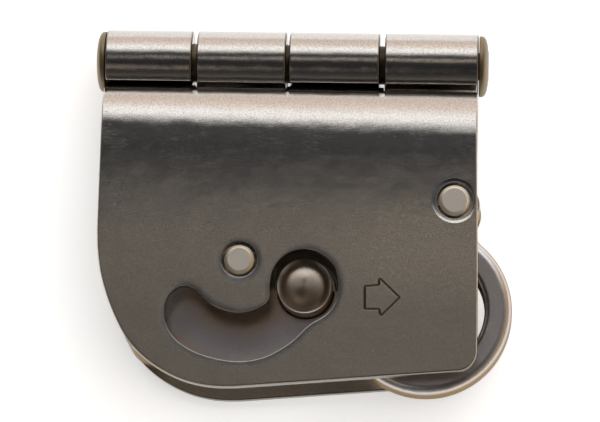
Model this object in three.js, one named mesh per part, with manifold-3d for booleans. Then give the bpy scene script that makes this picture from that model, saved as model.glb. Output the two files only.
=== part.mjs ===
// Hinged rope grab for a 16 mm lifeline, lying on its back plate.
// Millimetres. +X runs along the hinge (up the rope in use), +Y points from the plates to the hinge,
// +Z is the outward normal of the opening front plate. The drawing frame has its Y = 0 on the hinge
// axis and Z = 0 on the outer face of the back plate; the group at the end moves the whole object so
// that its origin is under the middle of its bounding box.
import * as THREE from 'three';
import { mergeVertices } from 'three/addons/utils/BufferGeometryUtils.js';
import Module from 'manifold-3d';

const wasm = await Module();
wasm.setup();

// ---------------------------------------------------------------- driving dimensions
const SHEET = 3.05;            // plate thickness
const DEPTH = 24.5;            // outer face to outer face of the two plates
const MID = DEPTH / 2;         // height of the hinge axis
const PIN_R = 4.7;             // hinge pin
const BORE_R = 4.85;           // inside of the rolled knuckles
const BARREL_R = BORE_R + SHEET;
const SLOPE = 70;              // shoulder slope against the plate, degrees
const BEND_R = 13.0;           // outer radius of the shoulder bend
const CUT_GAP = 0.35;          // clearance of a cut top edge to the other plate's shoulder
const ROLL_END = 51;           // where the rolled sheet ends, degrees round from +Z
const EDGE_L = -48.85;         // left end of the plates and of the knuckle row
const EDGE_R = 42.2;           // right end of the knuckle row
const KNUCKLES = [[EDGE_L, -27.65], [-26.5, -4.7], [-3.95, 18.15], [19.4, EDGE_R]];
const HEAD_GAP = 0.15;         // play between the knuckle row and the heads
const HEAD_R = 7.45;           // pin heads with a small rounded rim
const HEAD_T = 2.3;

const P1 = [37.03, -36.0];     // cam lever pivot
const P2 = [-14.31, -51.18];   // latch pivot
const P1_R = 3.8;
const P2_R = 3.65;
const PIN_TOP = DEPTH + 0.5;   // both pivot pins stand a little proud of the front plate
const PIN_CHAMFER = 0.85;
const P1_HOLE = { r: 4.35, dy: 0.0 };
const P2_HOLE = { r: 4.35, dy: 0.1 };
const HOLE_RELIEF = 0.35;      // the holes are wider below, so that they pass the pins when the plate swings

const RING_C = [30.37, -61.2]; // lever eye
const RING_R = 20.8;
const EYE_R = 14.2;
const LEVER_Z = [7.25, 17.25];
const RING_EDGE = 2.4;         // rounding of the forged eye
const HUB_R = 6.1;
const LOBE_R = 11.2;           // cam radius towards the rope at rest

const KNOB_C = [1.26, -56.5];
const KNOB_R = 6.65;
const KNOB_CAP_R = 11.0;       // spherical radius of the knob's crown
const KNOB_RIM = 0.75;         // rounding between wall and crown
const KNOB_TOP = 21.9;
const LATCH_Z = [9.5, 12.5];
const LATCH_R = 25.0;
const CUP_R = 8.05;
const CUP_Z = [6.0, 9.2];

const SPACER_C = [-34.84, -67.02];
const SPACER_R = 7.3;
const SPACER_CLEAR_R = 26.2;

// plate outline from the left end of the shoulder round to the right, drawing frame
const OUTLINE = [
  [-48.85, -44.0], [-48.55, -49.0], [-47.7, -54.5], [-46.1, -60.0], [-43.75, -65.6], [-40.7, -70.9],
  [-36.7, -75.1], [-31.7, -78.5], [-26.0, -80.9], [-20.5, -81.95], [-15.5, -82.05], [-11.0, -81.72],
];
const CORNER = [42.95, -77.0];
const CORNER_R = 4.9;

// comma-shaped window of the front plate: two smooth runs that meet in a cusp
const WINDOW_A = [ // round part, from the cusp clockwise, then the outer edge to the far end
  [-6.6, -60.55], [-6.85, -56.9], [-5.9, -52.85], [-3.0, -49.6], [1.25, -48.35], [5.4, -49.45],
  [8.5, -52.5], [9.65, -57.0], [9.0, -61.1], [6.75, -64.2], [3.6, -66.2], [1.75, -67.75],
  [-0.2, -69.85], [-3.2, -72.25], [-8.2, -74.85], [-13.8, -75.8], [-19.6, -75.1], [-24.9, -73.4],
  [-29.2, -70.5], [-31.5, -66.8], [-31.95, -63.1], [-30.75, -59.6], [-27.6, -57.7], [-24.9, -58.6],
  [-22.9, -60.5], [-20.4, -62.3], [-17.2, -63.6], [-13.8, -64.0], [-10.2, -63.15], [-7.3, -61.45],
];

// ---------------------------------------------------------------- helpers
const rad = (d) => d * Math.PI / 180;
const V2 = (x, y) => new THREE.Vector2(x, y);

function toSolid(geo) {
  const g = geo.index ? geo.toNonIndexed() : geo.clone();
  g.deleteAttribute('normal');
  g.deleteAttribute('uv');
  const m = mergeVertices(g, 1e-4);
  const solid = new wasm.Manifold(new wasm.Mesh({
    numProp: 3,
    vertProperties: new Float32Array(m.attributes.position.array),
    triVerts: new Uint32Array(m.index.array),
  }));
  return solid;
}

function toGeometry(solid) {
  const mesh = solid.getMesh();
  const n = mesh.numProp;
  const src = mesh.vertProperties;
  const pos = new Float32Array(src.length / n * 3);
  for (let i = 0; i < src.length / n; i++) {
    pos[3 * i] = src[n * i];
    pos[3 * i + 1] = src[n * i + 1];
    pos[3 * i + 2] = src[n * i + 2];
  }
  const g = new THREE.BufferGeometry();
  g.setAttribute('position', new THREE.BufferAttribute(pos, 3));
  g.setIndex(new THREE.BufferAttribute(new Uint32Array(mesh.triVerts), 1));
  g.computeVertexNormals();
  return g;
}

const polyShape = (pts, holes = []) => {
  const s = new THREE.Shape(pts.map((p) => V2(p[0], p[1])));
  for (const h of holes) s.holes.push(new THREE.Path(h.map((p) => V2(p[0], p[1]))));
  return s;
};

// prism along Z between two heights
function prismZ(pts, z0, z1, holes = []) {
  const g = new THREE.ExtrudeGeometry(polyShape(pts, holes), { depth: z1 - z0, bevelEnabled: false });
  g.translate(0, 0, z0);
  return toSolid(g);
}

// prism along Z with rounded or chamfered rims that stay inside the outline
function softPrismZ(pts, z0, z1, edge, segments, holes = []) {
  const g = new THREE.ExtrudeGeometry(polyShape(pts, holes), {
    depth: z1 - z0 - 2 * edge, bevelEnabled: true, bevelThickness: edge, bevelSize: edge,
    bevelOffset: -edge, bevelSegments: segments,
  });
  g.translate(0, 0, z0 + edge);
  return toSolid(g);
}

// prism along X of a profile given as [y, z]
function prismX(profile, x0, x1) {
  const g = new THREE.ExtrudeGeometry(polyShape(profile), { depth: x1 - x0, bevelEnabled: false });
  // shape x -> Y, shape y -> Z, depth -> X
  g.applyMatrix4(new THREE.Matrix4().set(0, 0, 1, x0, 1, 0, 0, 0, 0, 1, 0, 0, 0, 0, 0, 1));
  return toSolid(g);
}

// turned piece about a vertical axis through c, profile as [r, z] starting and ending on the axis
// or closing on itself
function turnedZ(profile, c, segments = 40) {
  const pts = profile.map((p) => V2(Math.max(p[0], 0), p[1]));
  const g = new THREE.LatheGeometry(pts, segments);
  g.applyMatrix4(new THREE.Matrix4().set(1, 0, 0, c[0], 0, 0, -1, c[1], 0, 1, 0, 0, 0, 0, 0, 1));
  return orient(g);
}

// turned piece about the hinge axis, profile as [r, x]
function turnedX(profile, segments = 36) {
  const pts = profile.map((p) => V2(Math.max(p[0], 0), p[1]));
  const g = new THREE.LatheGeometry(pts, segments);
  g.applyMatrix4(new THREE.Matrix4().set(0, 1, 0, 0, 0, 0, 1, 0, 1, 0, 0, MID, 0, 0, 0, 1));
  return orient(g);
}

// a lathe may come out inside out, which a solid with negative volume shows
function orient(g) {
  const flat = g.toNonIndexed();
  const p = flat.attributes.position;
  let vol = 0;
  const a = new THREE.Vector3(), b = new THREE.Vector3(), c = new THREE.Vector3();
  for (let i = 0; i < p.count; i += 3) {
    a.fromBufferAttribute(p, i); b.fromBufferAttribute(p, i + 1); c.fromBufferAttribute(p, i + 2);
    vol += a.dot(b.clone().cross(c)) / 6;
  }
  if (vol < 0) {
    const arr = p.array;
    for (let i = 0; i < arr.length; i += 9) {
      for (let k = 0; k < 3; k++) { const t = arr[i + 3 + k]; arr[i + 3 + k] = arr[i + 6 + k]; arr[i + 6 + k] = t; }
    }
  }
  return toSolid(flat);
}

const circle = (c, r, n = 40, from = 0) => {
  const out = [];
  for (let i = 0; i < n; i++) {
    const t = rad(from) + 2 * Math.PI * i / n;
    out.push([c[0] + r * Math.cos(t), c[1] + r * Math.sin(t)]);
  }
  return out;
};

const arc = (c, r, a0, a1, n) => {
  const out = [];
  for (let i = 0; i <= n; i++) {
    const t = rad(a0 + (a1 - a0) * i / n);
    out.push([c[0] + r * Math.cos(t), c[1] + r * Math.sin(t)]);
  }
  return out;
};

const smooth = (pts, n, closed = false) => {
  const c = new THREE.CatmullRomCurve3(pts.map((p) => new THREE.Vector3(p[0], p[1], 0)), closed, 'centripetal');
  return c.getPoints(n).map((v) => [v.x, v.y]);
};

const cylZ = (c, r, z0, z1, n = 40) => prismZ(circle(c, r, n), z0, z1);

// round wire of radius r through the points of a curve
function wire(points, r, steps, sides = 6) {
  const curve = new THREE.CatmullRomCurve3(points.map((p) => new THREE.Vector3(p[0], p[1], p[2])), false, 'centripetal');
  const sec = new THREE.Shape(circle([0, 0], r, sides).map((p) => V2(p[0], p[1])));
  return new THREE.ExtrudeGeometry(sec, { steps, bevelEnabled: false, extrudePath: curve });
}

// ---------------------------------------------------------------- sheet profile of one plate, as [y, z]
const ns = [Math.sin(rad(SLOPE)), Math.cos(rad(SLOPE))];       // outward normal of the shoulder slope
const ds = [Math.cos(rad(SLOPE)), -Math.sin(rad(SLOPE))];      // down the slope towards the barrel
const bendY = (-BORE_R - BEND_R - ns[1] * (DEPTH - BEND_R - MID)) / ns[0];
const bendC = [bendY, DEPTH - BEND_R];
const polar = (r, phi) => [-r * Math.sin(rad(phi)), MID + r * Math.cos(rad(phi))];
const tangent = 180 - SLOPE;

// The cut top edge follows the other plate's knuckle at a constant gap: round its barrel, then down its
// slope. On the outer face it starts where the bend meets the clearance circle.
const cutR = BARREL_R + CUT_GAP;
const bendGap = Math.hypot(bendC[0], bendC[1] - MID);
const bendToAxis = Math.atan2(MID - bendC[1], -bendC[0]);
const cutAngle = (bendToAxis + Math.acos((BEND_R ** 2 + bendGap ** 2 - cutR ** 2) / (2 * BEND_R * bendGap))) * 180 / Math.PI;
const cutTop = [bendC[0] + BEND_R * Math.cos(rad(cutAngle)), bendC[1] + BEND_R * Math.sin(rad(cutAngle))];
const cutPhi = Math.atan2(-cutTop[0], cutTop[1] - MID) * 180 / Math.PI;
const cutFoot = (() => { // where the inner face meets the clearance line of the other slope
  const zp = CUT_GAP / (2 * ns[1]);
  return [(-BARREL_R - ns[1] * zp) / ns[0], MID + zp];
})();

function sheetProfile() {
  const out = [[-95, DEPTH]];
  for (const p of arc(bendC, BEND_R, 90, cutAngle, 12)) out.push(p);
  for (let k = 1; k <= 3; k++) out.push(polar(cutR, cutPhi + (SLOPE - cutPhi) * k / 3));
  out.push(cutFoot);
  for (const p of arc(bendC, BEND_R - SHEET, 90 - SLOPE, 90, 12)) out.push(p);
  out.push([-95, DEPTH - SHEET]);
  return out.reverse();
}

function curlProfile() {
  const out = [];
  for (const p of arc(bendC, BEND_R - SHEET, 40, 90 - SLOPE, 4)) out.push(p);
  const n = 34, end = 360 + ROLL_END;
  for (let k = 0; k <= n; k++) out.push(polar(BARREL_R, tangent + (end - tangent) * k / n));
  for (let k = n; k >= 0; k--) out.push(polar(BORE_R, tangent + (end - tangent) * k / n));
  for (const p of arc(bendC, BEND_R, 90 - SLOPE, 40, 4)) out.push(p);
  return out;
}

function outlinePolygon() {
  const pts = [[EDGE_L, 12], [EDGE_L, -30]];
  for (const p of smooth(OUTLINE, 44)) pts.push(p);
  // slanted lower edge into the rounded right corner
  const last = OUTLINE[OUTLINE.length - 1];
  const dir = Math.atan2(CORNER[1] + 0.0 - last[1], CORNER[0] - last[0]);
  const half = (Math.PI / 2 - dir) / 2;
  const t = CORNER_R * Math.tan(half);
  const cx = CORNER[0] - CORNER_R, a = [CORNER[0] - t * Math.cos(dir), CORNER[1] - t * Math.sin(dir)];
  const cy = CORNER[1] + t;
  pts.push(a);
  const a0 = Math.atan2(a[1] - cy, a[0] - cx) * 180 / Math.PI;
  for (const p of arc([cx, cy], CORNER_R, a0, 0, 9).slice(1)) pts.push(p);
  pts.push([42.75, -52]);
  pts.push([EDGE_R, -26]);
  pts.push([EDGE_R, 12]);
  return pts;
}

function plateBlank(knuckles) {
  let s = prismX(sheetProfile(), EDGE_L - 10, EDGE_R + 10);
  s = s.intersect(prismZ(outlinePolygon(), -5, DEPTH + 5));
  const curl = curlProfile();
  for (const k of knuckles) s = s.add(prismX(curl, k[0], k[1]));
  return s;
}

const mirrorZ = (solid) => {
  const g = toGeometry(solid);
  g.deleteAttribute('normal');
  const p = g.attributes.position.array;
  for (let i = 2; i < p.length; i += 3) p[i] = DEPTH - p[i];
  const ix = g.index.array;
  for (let i = 0; i < ix.length; i += 3) { const t = ix[i]; ix[i] = ix[i + 1]; ix[i + 1] = t; }
  return toSolid(g);
};

// ---------------------------------------------------------------- materials
const steel = (color, roughness, metalness = 1) => new THREE.MeshStandardMaterial({ color, roughness, metalness });
const MAT = {
  plate: steel(0x8a857c, 0.38),
  pin: steel(0xb5aa98, 0.34),
  forged: steel(0x868894, 0.36),
  tinted: steel(0x7c7078, 0.36),
  knob: steel(0x9a8c7e, 0.28),
  spring: steel(0x9b9b9d, 0.3),
  zinc: steel(0x8f8f8c, 0.45),
};

const grab = new THREE.Group();
function put(name, what, material, parent = grab) {
  const geo = what.isBufferGeometry ? what : toGeometry(what);
  const m = new THREE.Mesh(geo, material);
  m.name = name;
  parent.add(m);
  return m;
}

// ---------------------------------------------------------------- front plate (opening half)
const window2d = smooth(WINDOW_A.concat([WINDOW_A[0]]), 110).slice(0, -1);
let front = plateBlank([KNUCKLES[0], KNUCKLES[2]]);
front = front.subtract(prismZ(window2d, DEPTH - 6, DEPTH + 2));
for (const [c, hole] of [[P1, P1_HOLE], [P2, P2_HOLE]]) {
  front = front.subtract(cylZ([c[0], c[1] + hole.dy], hole.r, DEPTH - 6, DEPTH + 2, 36));
  front = front.subtract(cylZ([c[0], c[1] + hole.dy - HOLE_RELIEF], hole.r + HOLE_RELIEF, DEPTH - 6, DEPTH - 1.0, 36));
}
put('front_plate', front, MAT.plate);

// ---------------------------------------------------------------- back plate with countersunk rivet holes
const FIXED_GAP = 0.15;
const STOP_C = [10.4, -49.7], STOP_R = 2.0;
const ANCHOR1_C = [27.3, -35.3], ANCHOR2_C = [-18.55, -41.35], ANCHOR_R = 1.4;
const SCREW_C = [-37.7, -69.3], SCREW_R = 1.5;
const rivetHole = (c, r) => turnedZ([[0, -1], [r + 1.0 + 1.0 + FIXED_GAP, -1], [r + 1.0 + FIXED_GAP, 0],
  [r + FIXED_GAP, 1.0], [r + FIXED_GAP, SHEET + 1], [0, SHEET + 1]], c, r > 3 ? 32 : 20);
let back = mirrorZ(plateBlank([KNUCKLES[1], KNUCKLES[3]]));
for (const [c, r] of [[P1, P1_R], [P2, P2_R], [STOP_C, STOP_R], [ANCHOR1_C, ANCHOR_R], [ANCHOR2_C, ANCHOR_R], [SCREW_C, SCREW_R]]) {
  back = back.subtract(rivetHole(c, r));
}
put('rear_plate', back, MAT.plate);

// ---------------------------------------------------------------- hinge pin and its riveted collar
const headL = EDGE_L - HEAD_GAP;
const collar0 = EDGE_R + HEAD_GAP;
const dome = (x0, dir) => [ // rounded head profile from the shaft side outwards, [r, x]
  [HEAD_R - 0.3, x0], [HEAD_R, x0 + dir * 0.3], [HEAD_R, x0 + dir * (HEAD_T - 1.1)], [HEAD_R - 0.2, x0 + dir * (HEAD_T - 0.5)],
  [HEAD_R - 0.7, x0 + dir * (HEAD_T - 0.1)], [HEAD_R - 1.4, x0 + dir * HEAD_T],
];
put('hinge_pin', turnedX([
  [0, headL - HEAD_T], ...dome(headL, -1).reverse(), [PIN_R, headL], [PIN_R, collar0 - 0.3], [3.3, collar0 - 0.3],
  [3.3, collar0 + HEAD_T - 0.35], [2.9, collar0 + HEAD_T - 0.02], [0, collar0 + HEAD_T - 0.02],
], 36), MAT.pin);
put('hinge_pin_collar', turnedX([
  [3.45, collar0], ...dome(collar0, 1), [3.45, collar0 + HEAD_T], [3.45, collar0],
], 36), MAT.pin);

// ---------------------------------------------------------------- cam lever with eye, on pivot pin P1
const rivetEnd = (r) => [[0, 0.05], [r + 0.95, 0.05], [r, 1.0]];
put('cam_pivot_pin', turnedZ([
  ...rivetEnd(P1_R), [P1_R, SHEET + 0.3], [6.0, SHEET + 0.3], [6.0, 4.3], [P1_R, 4.3], [P1_R, 19.25], [3.2, 19.25],
  [3.2, 20.25], [P1_R, 20.25], [P1_R, PIN_TOP - PIN_CHAMFER], [P1_R - PIN_CHAMFER, PIN_TOP], [0, PIN_TOP],
], P1, 32), MAT.pin);

const lobe = [];
const lobeR = (a) => {
  if (a < 40) return HUB_R;
  if (a < 90) return HUB_R + 0.5 + (LOBE_R - HUB_R - 0.5) * (a - 40) / 50;
  if (a < 126) return LOBE_R + 1.0 * (a - 90) / 36;
  if (a < 142) return LOBE_R + 1.0 - 2.4 * (a - 126) / 16;
  return LOBE_R - 1.4 - 0.6 * (a - 142) / 58;
};
const teeth = (a) => (a > 44 && a < 128 ? -0.45 * Math.abs(((a - 44) / 8.4) % 1 - 0.5) * 2 : 0);
for (let a = -60; a <= 200; a += (a >= 40 && a < 128 ? 2.8 : 8)) {
  const r = lobeR(a) + teeth(a);
  lobe.push([P1[0] + r * Math.cos(rad(a)), P1[1] + r * Math.sin(rad(a))]);
}
lobe.push([26.6, -42.2], [30.4, -45.5], [38.0, -45.0], [41.75, -43.6], [41.75, -40.2]);
let lever = softPrismZ(circle(RING_C, RING_R, 60), LEVER_Z[0], LEVER_Z[1], RING_EDGE, 2, [circle(RING_C, EYE_R, 44).reverse()]);
lever = lever.add(softPrismZ(lobe, LEVER_Z[0], LEVER_Z[1], 0.35, 1));
lever = lever.subtract(cylZ(RING_C, EYE_R, 0, 30, 44));
lever = lever.subtract(cylZ(P1, P1_R + 0.15, 0, 30, 32));
const LEG_C = [33.6, -43.8];
lever = lever.subtract(cylZ(LEG_C, 1.1, 0, 30, 12));
put('cam_lever', lever, MAT.forged);

const ringWasher = (c, r0, r1, z0, z1, n = 26) => turnedZ([[r0, z0], [r1, z0], [r1, z1], [r0, z1], [r0, z0]], c, n);
put('cam_lower_spacer', ringWasher(P1, P1_R + 0.2, 5.1, 4.6, 6.95), MAT.zinc);
put('cam_upper_spacer', ringWasher(P1, P1_R + 0.2, 5.8, 17.55, 18.95), MAT.zinc);

function clip(c, rIn, rOut, z0, z1, open) {
  const outer = arc(c, rOut, open + 38, open + 322, 30);
  const inner = arc(c, rIn, open + 322, open + 38, 26);
  return prismZ(outer.concat(inner), z0, z1);
}
put('cam_retaining_clip', clip(P1, 3.35, 5.9, 19.4, 20.1, 225), MAT.spring);

// torsion springs: a coil about the pin, one leg to an anchor pin, one leg turned up into the moving piece
function torsion(c, rc, z0, pitch, fullTurns, legA, legB, tipZ, r) {
  const ra = Math.hypot(legA[0] - c[0], legA[1] - c[1]), rb = Math.hypot(legB[0] - c[0], legB[1] - c[1]);
  const ta = Math.atan2(legA[1] - c[1], legA[0] - c[0]) + Math.acos(rc / ra);
  let tb = Math.atan2(legB[1] - c[1], legB[0] - c[0]) - Math.acos(rc / rb);
  while (tb < ta) tb += 2 * Math.PI;
  tb += 2 * Math.PI * fullTurns;
  const n = Math.round((tb - ta) / (2 * Math.PI) * 12);
  const rise = pitch * (tb - ta) / (2 * Math.PI);
  const first = [c[0] + rc * Math.cos(ta), c[1] + rc * Math.sin(ta)];
  const last = [c[0] + rc * Math.cos(tb), c[1] + rc * Math.sin(tb)];
  const mixed = (p, q, k) => [p[0] + (q[0] - p[0]) * k, p[1] + (q[1] - p[1]) * k];
  const pts = [[...mixed(legA, first, 0), z0], [...mixed(legA, first, 0.55), z0]];
  for (let i = 0; i <= n; i++) {
    const t = ta + (tb - ta) * i / n;
    pts.push([c[0] + rc * Math.cos(t), c[1] + rc * Math.sin(t), z0 + rise * i / n]);
  }
  const zt = z0 + rise;
  pts.push([...mixed(last, legB, 0.6), zt], [...mixed(last, legB, 0.97), zt + 0.12], [...legB, zt + 1.1], [...legB, tipZ]);
  return wire(pts, r, n + 16, 6);
}
put('cam_spring', torsion(P1, 6.0, 4.8, 0.86, 1, [28.9, -33.6], LEG_C, 9.8, 0.38), MAT.spring);
put('cam_spring_anchor', turnedZ([...rivetEnd(ANCHOR_R), [ANCHOR_R, 6.6], [0, 6.6]], ANCHOR1_C, 16), MAT.pin);
put('cam_stop_pin', turnedZ([...rivetEnd(STOP_R), [STOP_R, 15.6], [STOP_R - 0.4, 16.0], [0, 16.0]], STOP_C, 20), MAT.pin);

// ---------------------------------------------------------------- latch on pivot pin P2
put('latch_pivot_pin', turnedZ([
  ...rivetEnd(P2_R), [P2_R, SHEET + 0.3], [5.9, SHEET + 0.3], [5.9, 5.0], [P2_R, 5.0], [P2_R, 12.75], [3.05, 12.75],
  [3.05, 13.75], [P2_R, 13.75], [P2_R, PIN_TOP - PIN_CHAMFER], [P2_R - PIN_CHAMFER, PIN_TOP], [0, PIN_TOP],
], P2, 32), MAT.pin);
put('latch_bush', ringWasher(P2, P2_R + 0.2, 5.4, 5.3, 9.2), MAT.zinc);
put('latch_retaining_clip', clip(P2, 3.2, 5.7, 12.85, 13.6, 90), MAT.spring);

const at = (c, r, a) => [c[0] + r * Math.cos(rad(a)), c[1] + r * Math.sin(rad(a))];
const latchOutline = [];
for (const p of arc(P2, 6.2, 40, 172, 12)) latchOutline.push(p);
latchOutline.push(at(P2, 14.0, -163), at(P2, 20.5, -160), at(P2, 22.4, -157), at(P2, 22.9, -150), at(P2, 23.6, -143));
for (const p of arc(P2, LATCH_R, -136, -40, 26)) latchOutline.push(p);
latchOutline.push(at(KNOB_C, CUP_R, -42), at(KNOB_C, CUP_R, -22), at(KNOB_C, CUP_R, -5));
latchOutline.push([KNOB_C[0] + 7.4, KNOB_C[1] + 0.2], [-5.9, KNOB_C[1] + 0.2], [-7.6, -55.4]);
let latch = prismZ(latchOutline.reverse(), LATCH_Z[0], LATCH_Z[1]);
latch = latch.subtract(cylZ(KNOB_C, KNOB_R + 0.25, 5, 20, 40));
latch = latch.subtract(cylZ(P2, P2_R + 0.15, 5, 20, 32));
const LEG2_C = at(P2, 7.9, -100);
latch = latch.subtract(cylZ(LEG2_C, 1.1, 5, 20, 12));
put('latch_plate', latch, MAT.tinted);
put('latch_spring', torsion(P2, 6.7, 5.65, 1.2, 2, [-15.2, -40.6], LEG2_C, 10.9, 0.5), MAT.spring);
put('latch_spring_anchor', turnedZ([...rivetEnd(ANCHOR_R), [ANCHOR_R, 8.0], [0, 8.0]], ANCHOR2_C, 16), MAT.pin);

// sprung knob in its cup under the latch plate: a straight wall, a small rounded rim and a shallow crown
const knobProfile = [[0, 15.5], [1.95, 15.5], [1.95, 8.9], [3.1, 8.9], [3.1, 13.0], [5.4, 13.0], [5.4, 8.5], [KNOB_R, 8.5]];
const capC = KNOB_TOP - KNOB_CAP_R;
const rimR = KNOB_R - KNOB_RIM;
const rimZ = capC + Math.sqrt((KNOB_CAP_R - KNOB_RIM) ** 2 - rimR ** 2);
const capA = Math.atan2(rimZ - capC, rimR);
for (let i = 0; i <= 3; i++) knobProfile.push([rimR + KNOB_RIM * Math.cos(capA * i / 3), rimZ + KNOB_RIM * Math.sin(capA * i / 3)]);
for (let i = 1; i <= 5; i++) {
  const t = capA + (Math.PI / 2 - capA) * i / 5;
  knobProfile.push([i === 5 ? 0 : KNOB_CAP_R * Math.cos(t), capC + KNOB_CAP_R * Math.sin(t)]);
}
put('lock_knob', turnedZ(knobProfile, KNOB_C, 36), MAT.knob);
put('knob_screw', turnedZ([[0, 4.9], [3.0, 4.9], [3.0, 5.8], [1.8, 5.8], [1.8, 15.0], [0, 15.0]], KNOB_C, 20), MAT.spring);
put('spring_cup', turnedZ([[2.1, CUP_Z[0]], [CUP_R, CUP_Z[0]], [CUP_R, CUP_Z[1]], [7.3, CUP_Z[1]], [7.3, CUP_Z[0] + 0.8], [2.1, CUP_Z[0] + 0.8], [2.1, CUP_Z[0]]], KNOB_C, 32), MAT.zinc);
const coil = [];
for (let i = 0; i <= 48; i++) {
  const t = 2 * Math.PI * i / 12;
  coil.push([KNOB_C[0] + 4.25 * Math.cos(t), KNOB_C[1] + 4.25 * Math.sin(t), 7.3 + 5.2 * i / 48]);
}
put('knob_spring', wire(coil, 0.45, 48, 6), MAT.spring);

// ---------------------------------------------------------------- spacer in the free corner
const dcs = Math.hypot(SPACER_C[0] - P2[0], SPACER_C[1] - P2[1]);
const angCS = Math.atan2(SPACER_C[1] - P2[1], SPACER_C[0] - P2[0]);
// crossing points of the spacer circle with the clearance circle about P2
const cosA = (dcs * dcs + SPACER_CLEAR_R ** 2 - SPACER_R ** 2) / (2 * dcs * SPACER_CLEAR_R);
const half = Math.acos(cosA) * 180 / Math.PI;
const base = angCS * 180 / Math.PI;
const q0 = at(P2, SPACER_CLEAR_R, base + half), q1 = at(P2, SPACER_CLEAR_R, base - half);
const t0 = Math.atan2(q0[1] - SPACER_C[1], q0[0] - SPACER_C[0]) * 180 / Math.PI;
let t1 = Math.atan2(q1[1] - SPACER_C[1], q1[0] - SPACER_C[0]) * 180 / Math.PI;
if (t1 > t0) t1 -= 360;
const lens = arc(SPACER_C, SPACER_R, t0, t1, 22).concat(arc(P2, SPACER_CLEAR_R, base - half, base + half, 12).slice(1, -1));
let spacer = prismZ(lens.reverse(), SHEET + 0.3, DEPTH - SHEET - 0.3);
spacer = spacer.subtract(cylZ(SCREW_C, SCREW_R + 0.15, 0, 12, 24));
put('corner_spacer', spacer, MAT.forged);
put('spacer_screw', turnedZ([...rivetEnd(SCREW_R), [SCREW_R, 11.7], [0, 11.7]], SCREW_C, 16), MAT.pin);

// ---------------------------------------------------------------- origin under the middle of the bounding box
grab.updateMatrixWorld(true);
const box = new THREE.Box3().setFromObject(grab);
const root = new THREE.Group();
grab.position.set(-(box.min.x + box.max.x) / 2, -(box.min.y + box.max.y) / 2, 0);
root.add(grab);
export default root;
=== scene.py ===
"""Looks of a hinged steel rope grab lying on its rear plate: every piece is modelled with its rounded
edges and given a procedural steel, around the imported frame. Lengths below are in millimetres in a drawing
frame with Y = 0 on the hinge axis and Z = 0 on the outer face of the rear plate."""
import math

import bpy
import numpy as np
from mathutils import Matrix, Vector
from mathutils.geometry import delaunay_2d_cdt

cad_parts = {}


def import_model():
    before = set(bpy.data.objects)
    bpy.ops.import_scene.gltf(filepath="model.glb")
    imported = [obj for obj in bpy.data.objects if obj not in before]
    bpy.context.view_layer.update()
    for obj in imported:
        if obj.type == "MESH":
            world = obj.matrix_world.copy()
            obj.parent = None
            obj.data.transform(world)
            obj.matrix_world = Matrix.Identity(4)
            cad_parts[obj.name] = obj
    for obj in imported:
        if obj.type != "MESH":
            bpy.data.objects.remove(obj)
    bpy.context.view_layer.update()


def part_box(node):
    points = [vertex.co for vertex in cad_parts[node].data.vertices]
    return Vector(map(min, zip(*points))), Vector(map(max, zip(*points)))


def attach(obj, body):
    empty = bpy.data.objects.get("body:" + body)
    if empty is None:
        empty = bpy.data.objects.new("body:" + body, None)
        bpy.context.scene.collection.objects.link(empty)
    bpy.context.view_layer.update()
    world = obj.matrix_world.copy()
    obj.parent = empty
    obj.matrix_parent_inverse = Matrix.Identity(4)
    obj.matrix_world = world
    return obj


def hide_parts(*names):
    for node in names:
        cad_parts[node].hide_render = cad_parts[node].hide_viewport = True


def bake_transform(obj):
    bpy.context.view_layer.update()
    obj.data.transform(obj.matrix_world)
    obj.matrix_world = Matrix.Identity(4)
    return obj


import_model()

# ---------------------------------------------------------------- sizes, as in the construction
SHEET = 3.05
DEPTH = 24.5
MID = DEPTH / 2
PIN_R = 4.7
BORE_R = 4.85
BARREL_R = BORE_R + SHEET
SLOPE = 70.0
BEND_R = 13.0
CUT_GAP = 0.35
ROLL_END = 51.0
EDGE_L, EDGE_R = -48.85, 42.2
KNUCKLES = [(EDGE_L, -27.65), (-26.5, -4.7), (-3.95, 18.15), (19.4, EDGE_R)]
HEAD_GAP, HEAD_R, HEAD_T = 0.15, 7.45, 2.3
P1, P2 = (37.03, -36.0), (-14.31, -51.18)
P1_R, P2_R = 3.8, 3.65
PIN_TOP = DEPTH + 0.5
PIN_CHAMFER = 0.85
P1_HOLE_R, P1_HOLE_DY = 4.35, 0.0
P2_HOLE_R, P2_HOLE_DY = 4.35, 0.1
RING_C, RING_R, EYE_R = (30.37, -61.2), 20.8, 14.2
LEVER_Z = (7.25, 17.25)
HUB_R, LOBE_R = 6.1, 11.2
KNOB_C, KNOB_R, KNOB_CAP_R, KNOB_TOP = (1.26, -56.5), 6.65, 11.0, 21.9
KNOB_RIM = 0.75
LATCH_Z, LATCH_R = (9.5, 12.5), 25.0
CUP_R, CUP_Z = 8.05, (6.0, 9.2)
SPACER_C, SPACER_R, SPACER_CLEAR_R = (-34.84, -67.02), 7.3, 26.2
STOP_C, STOP_R = (10.4, -49.7), 2.0
ANCHOR1_C, ANCHOR2_C, ANCHOR_R = (27.3, -35.3), (-18.55, -41.35), 1.4
SCREW_C, SCREW_R = (-37.7, -69.3), 1.5
LEG_C = (33.6, -43.8)

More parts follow.
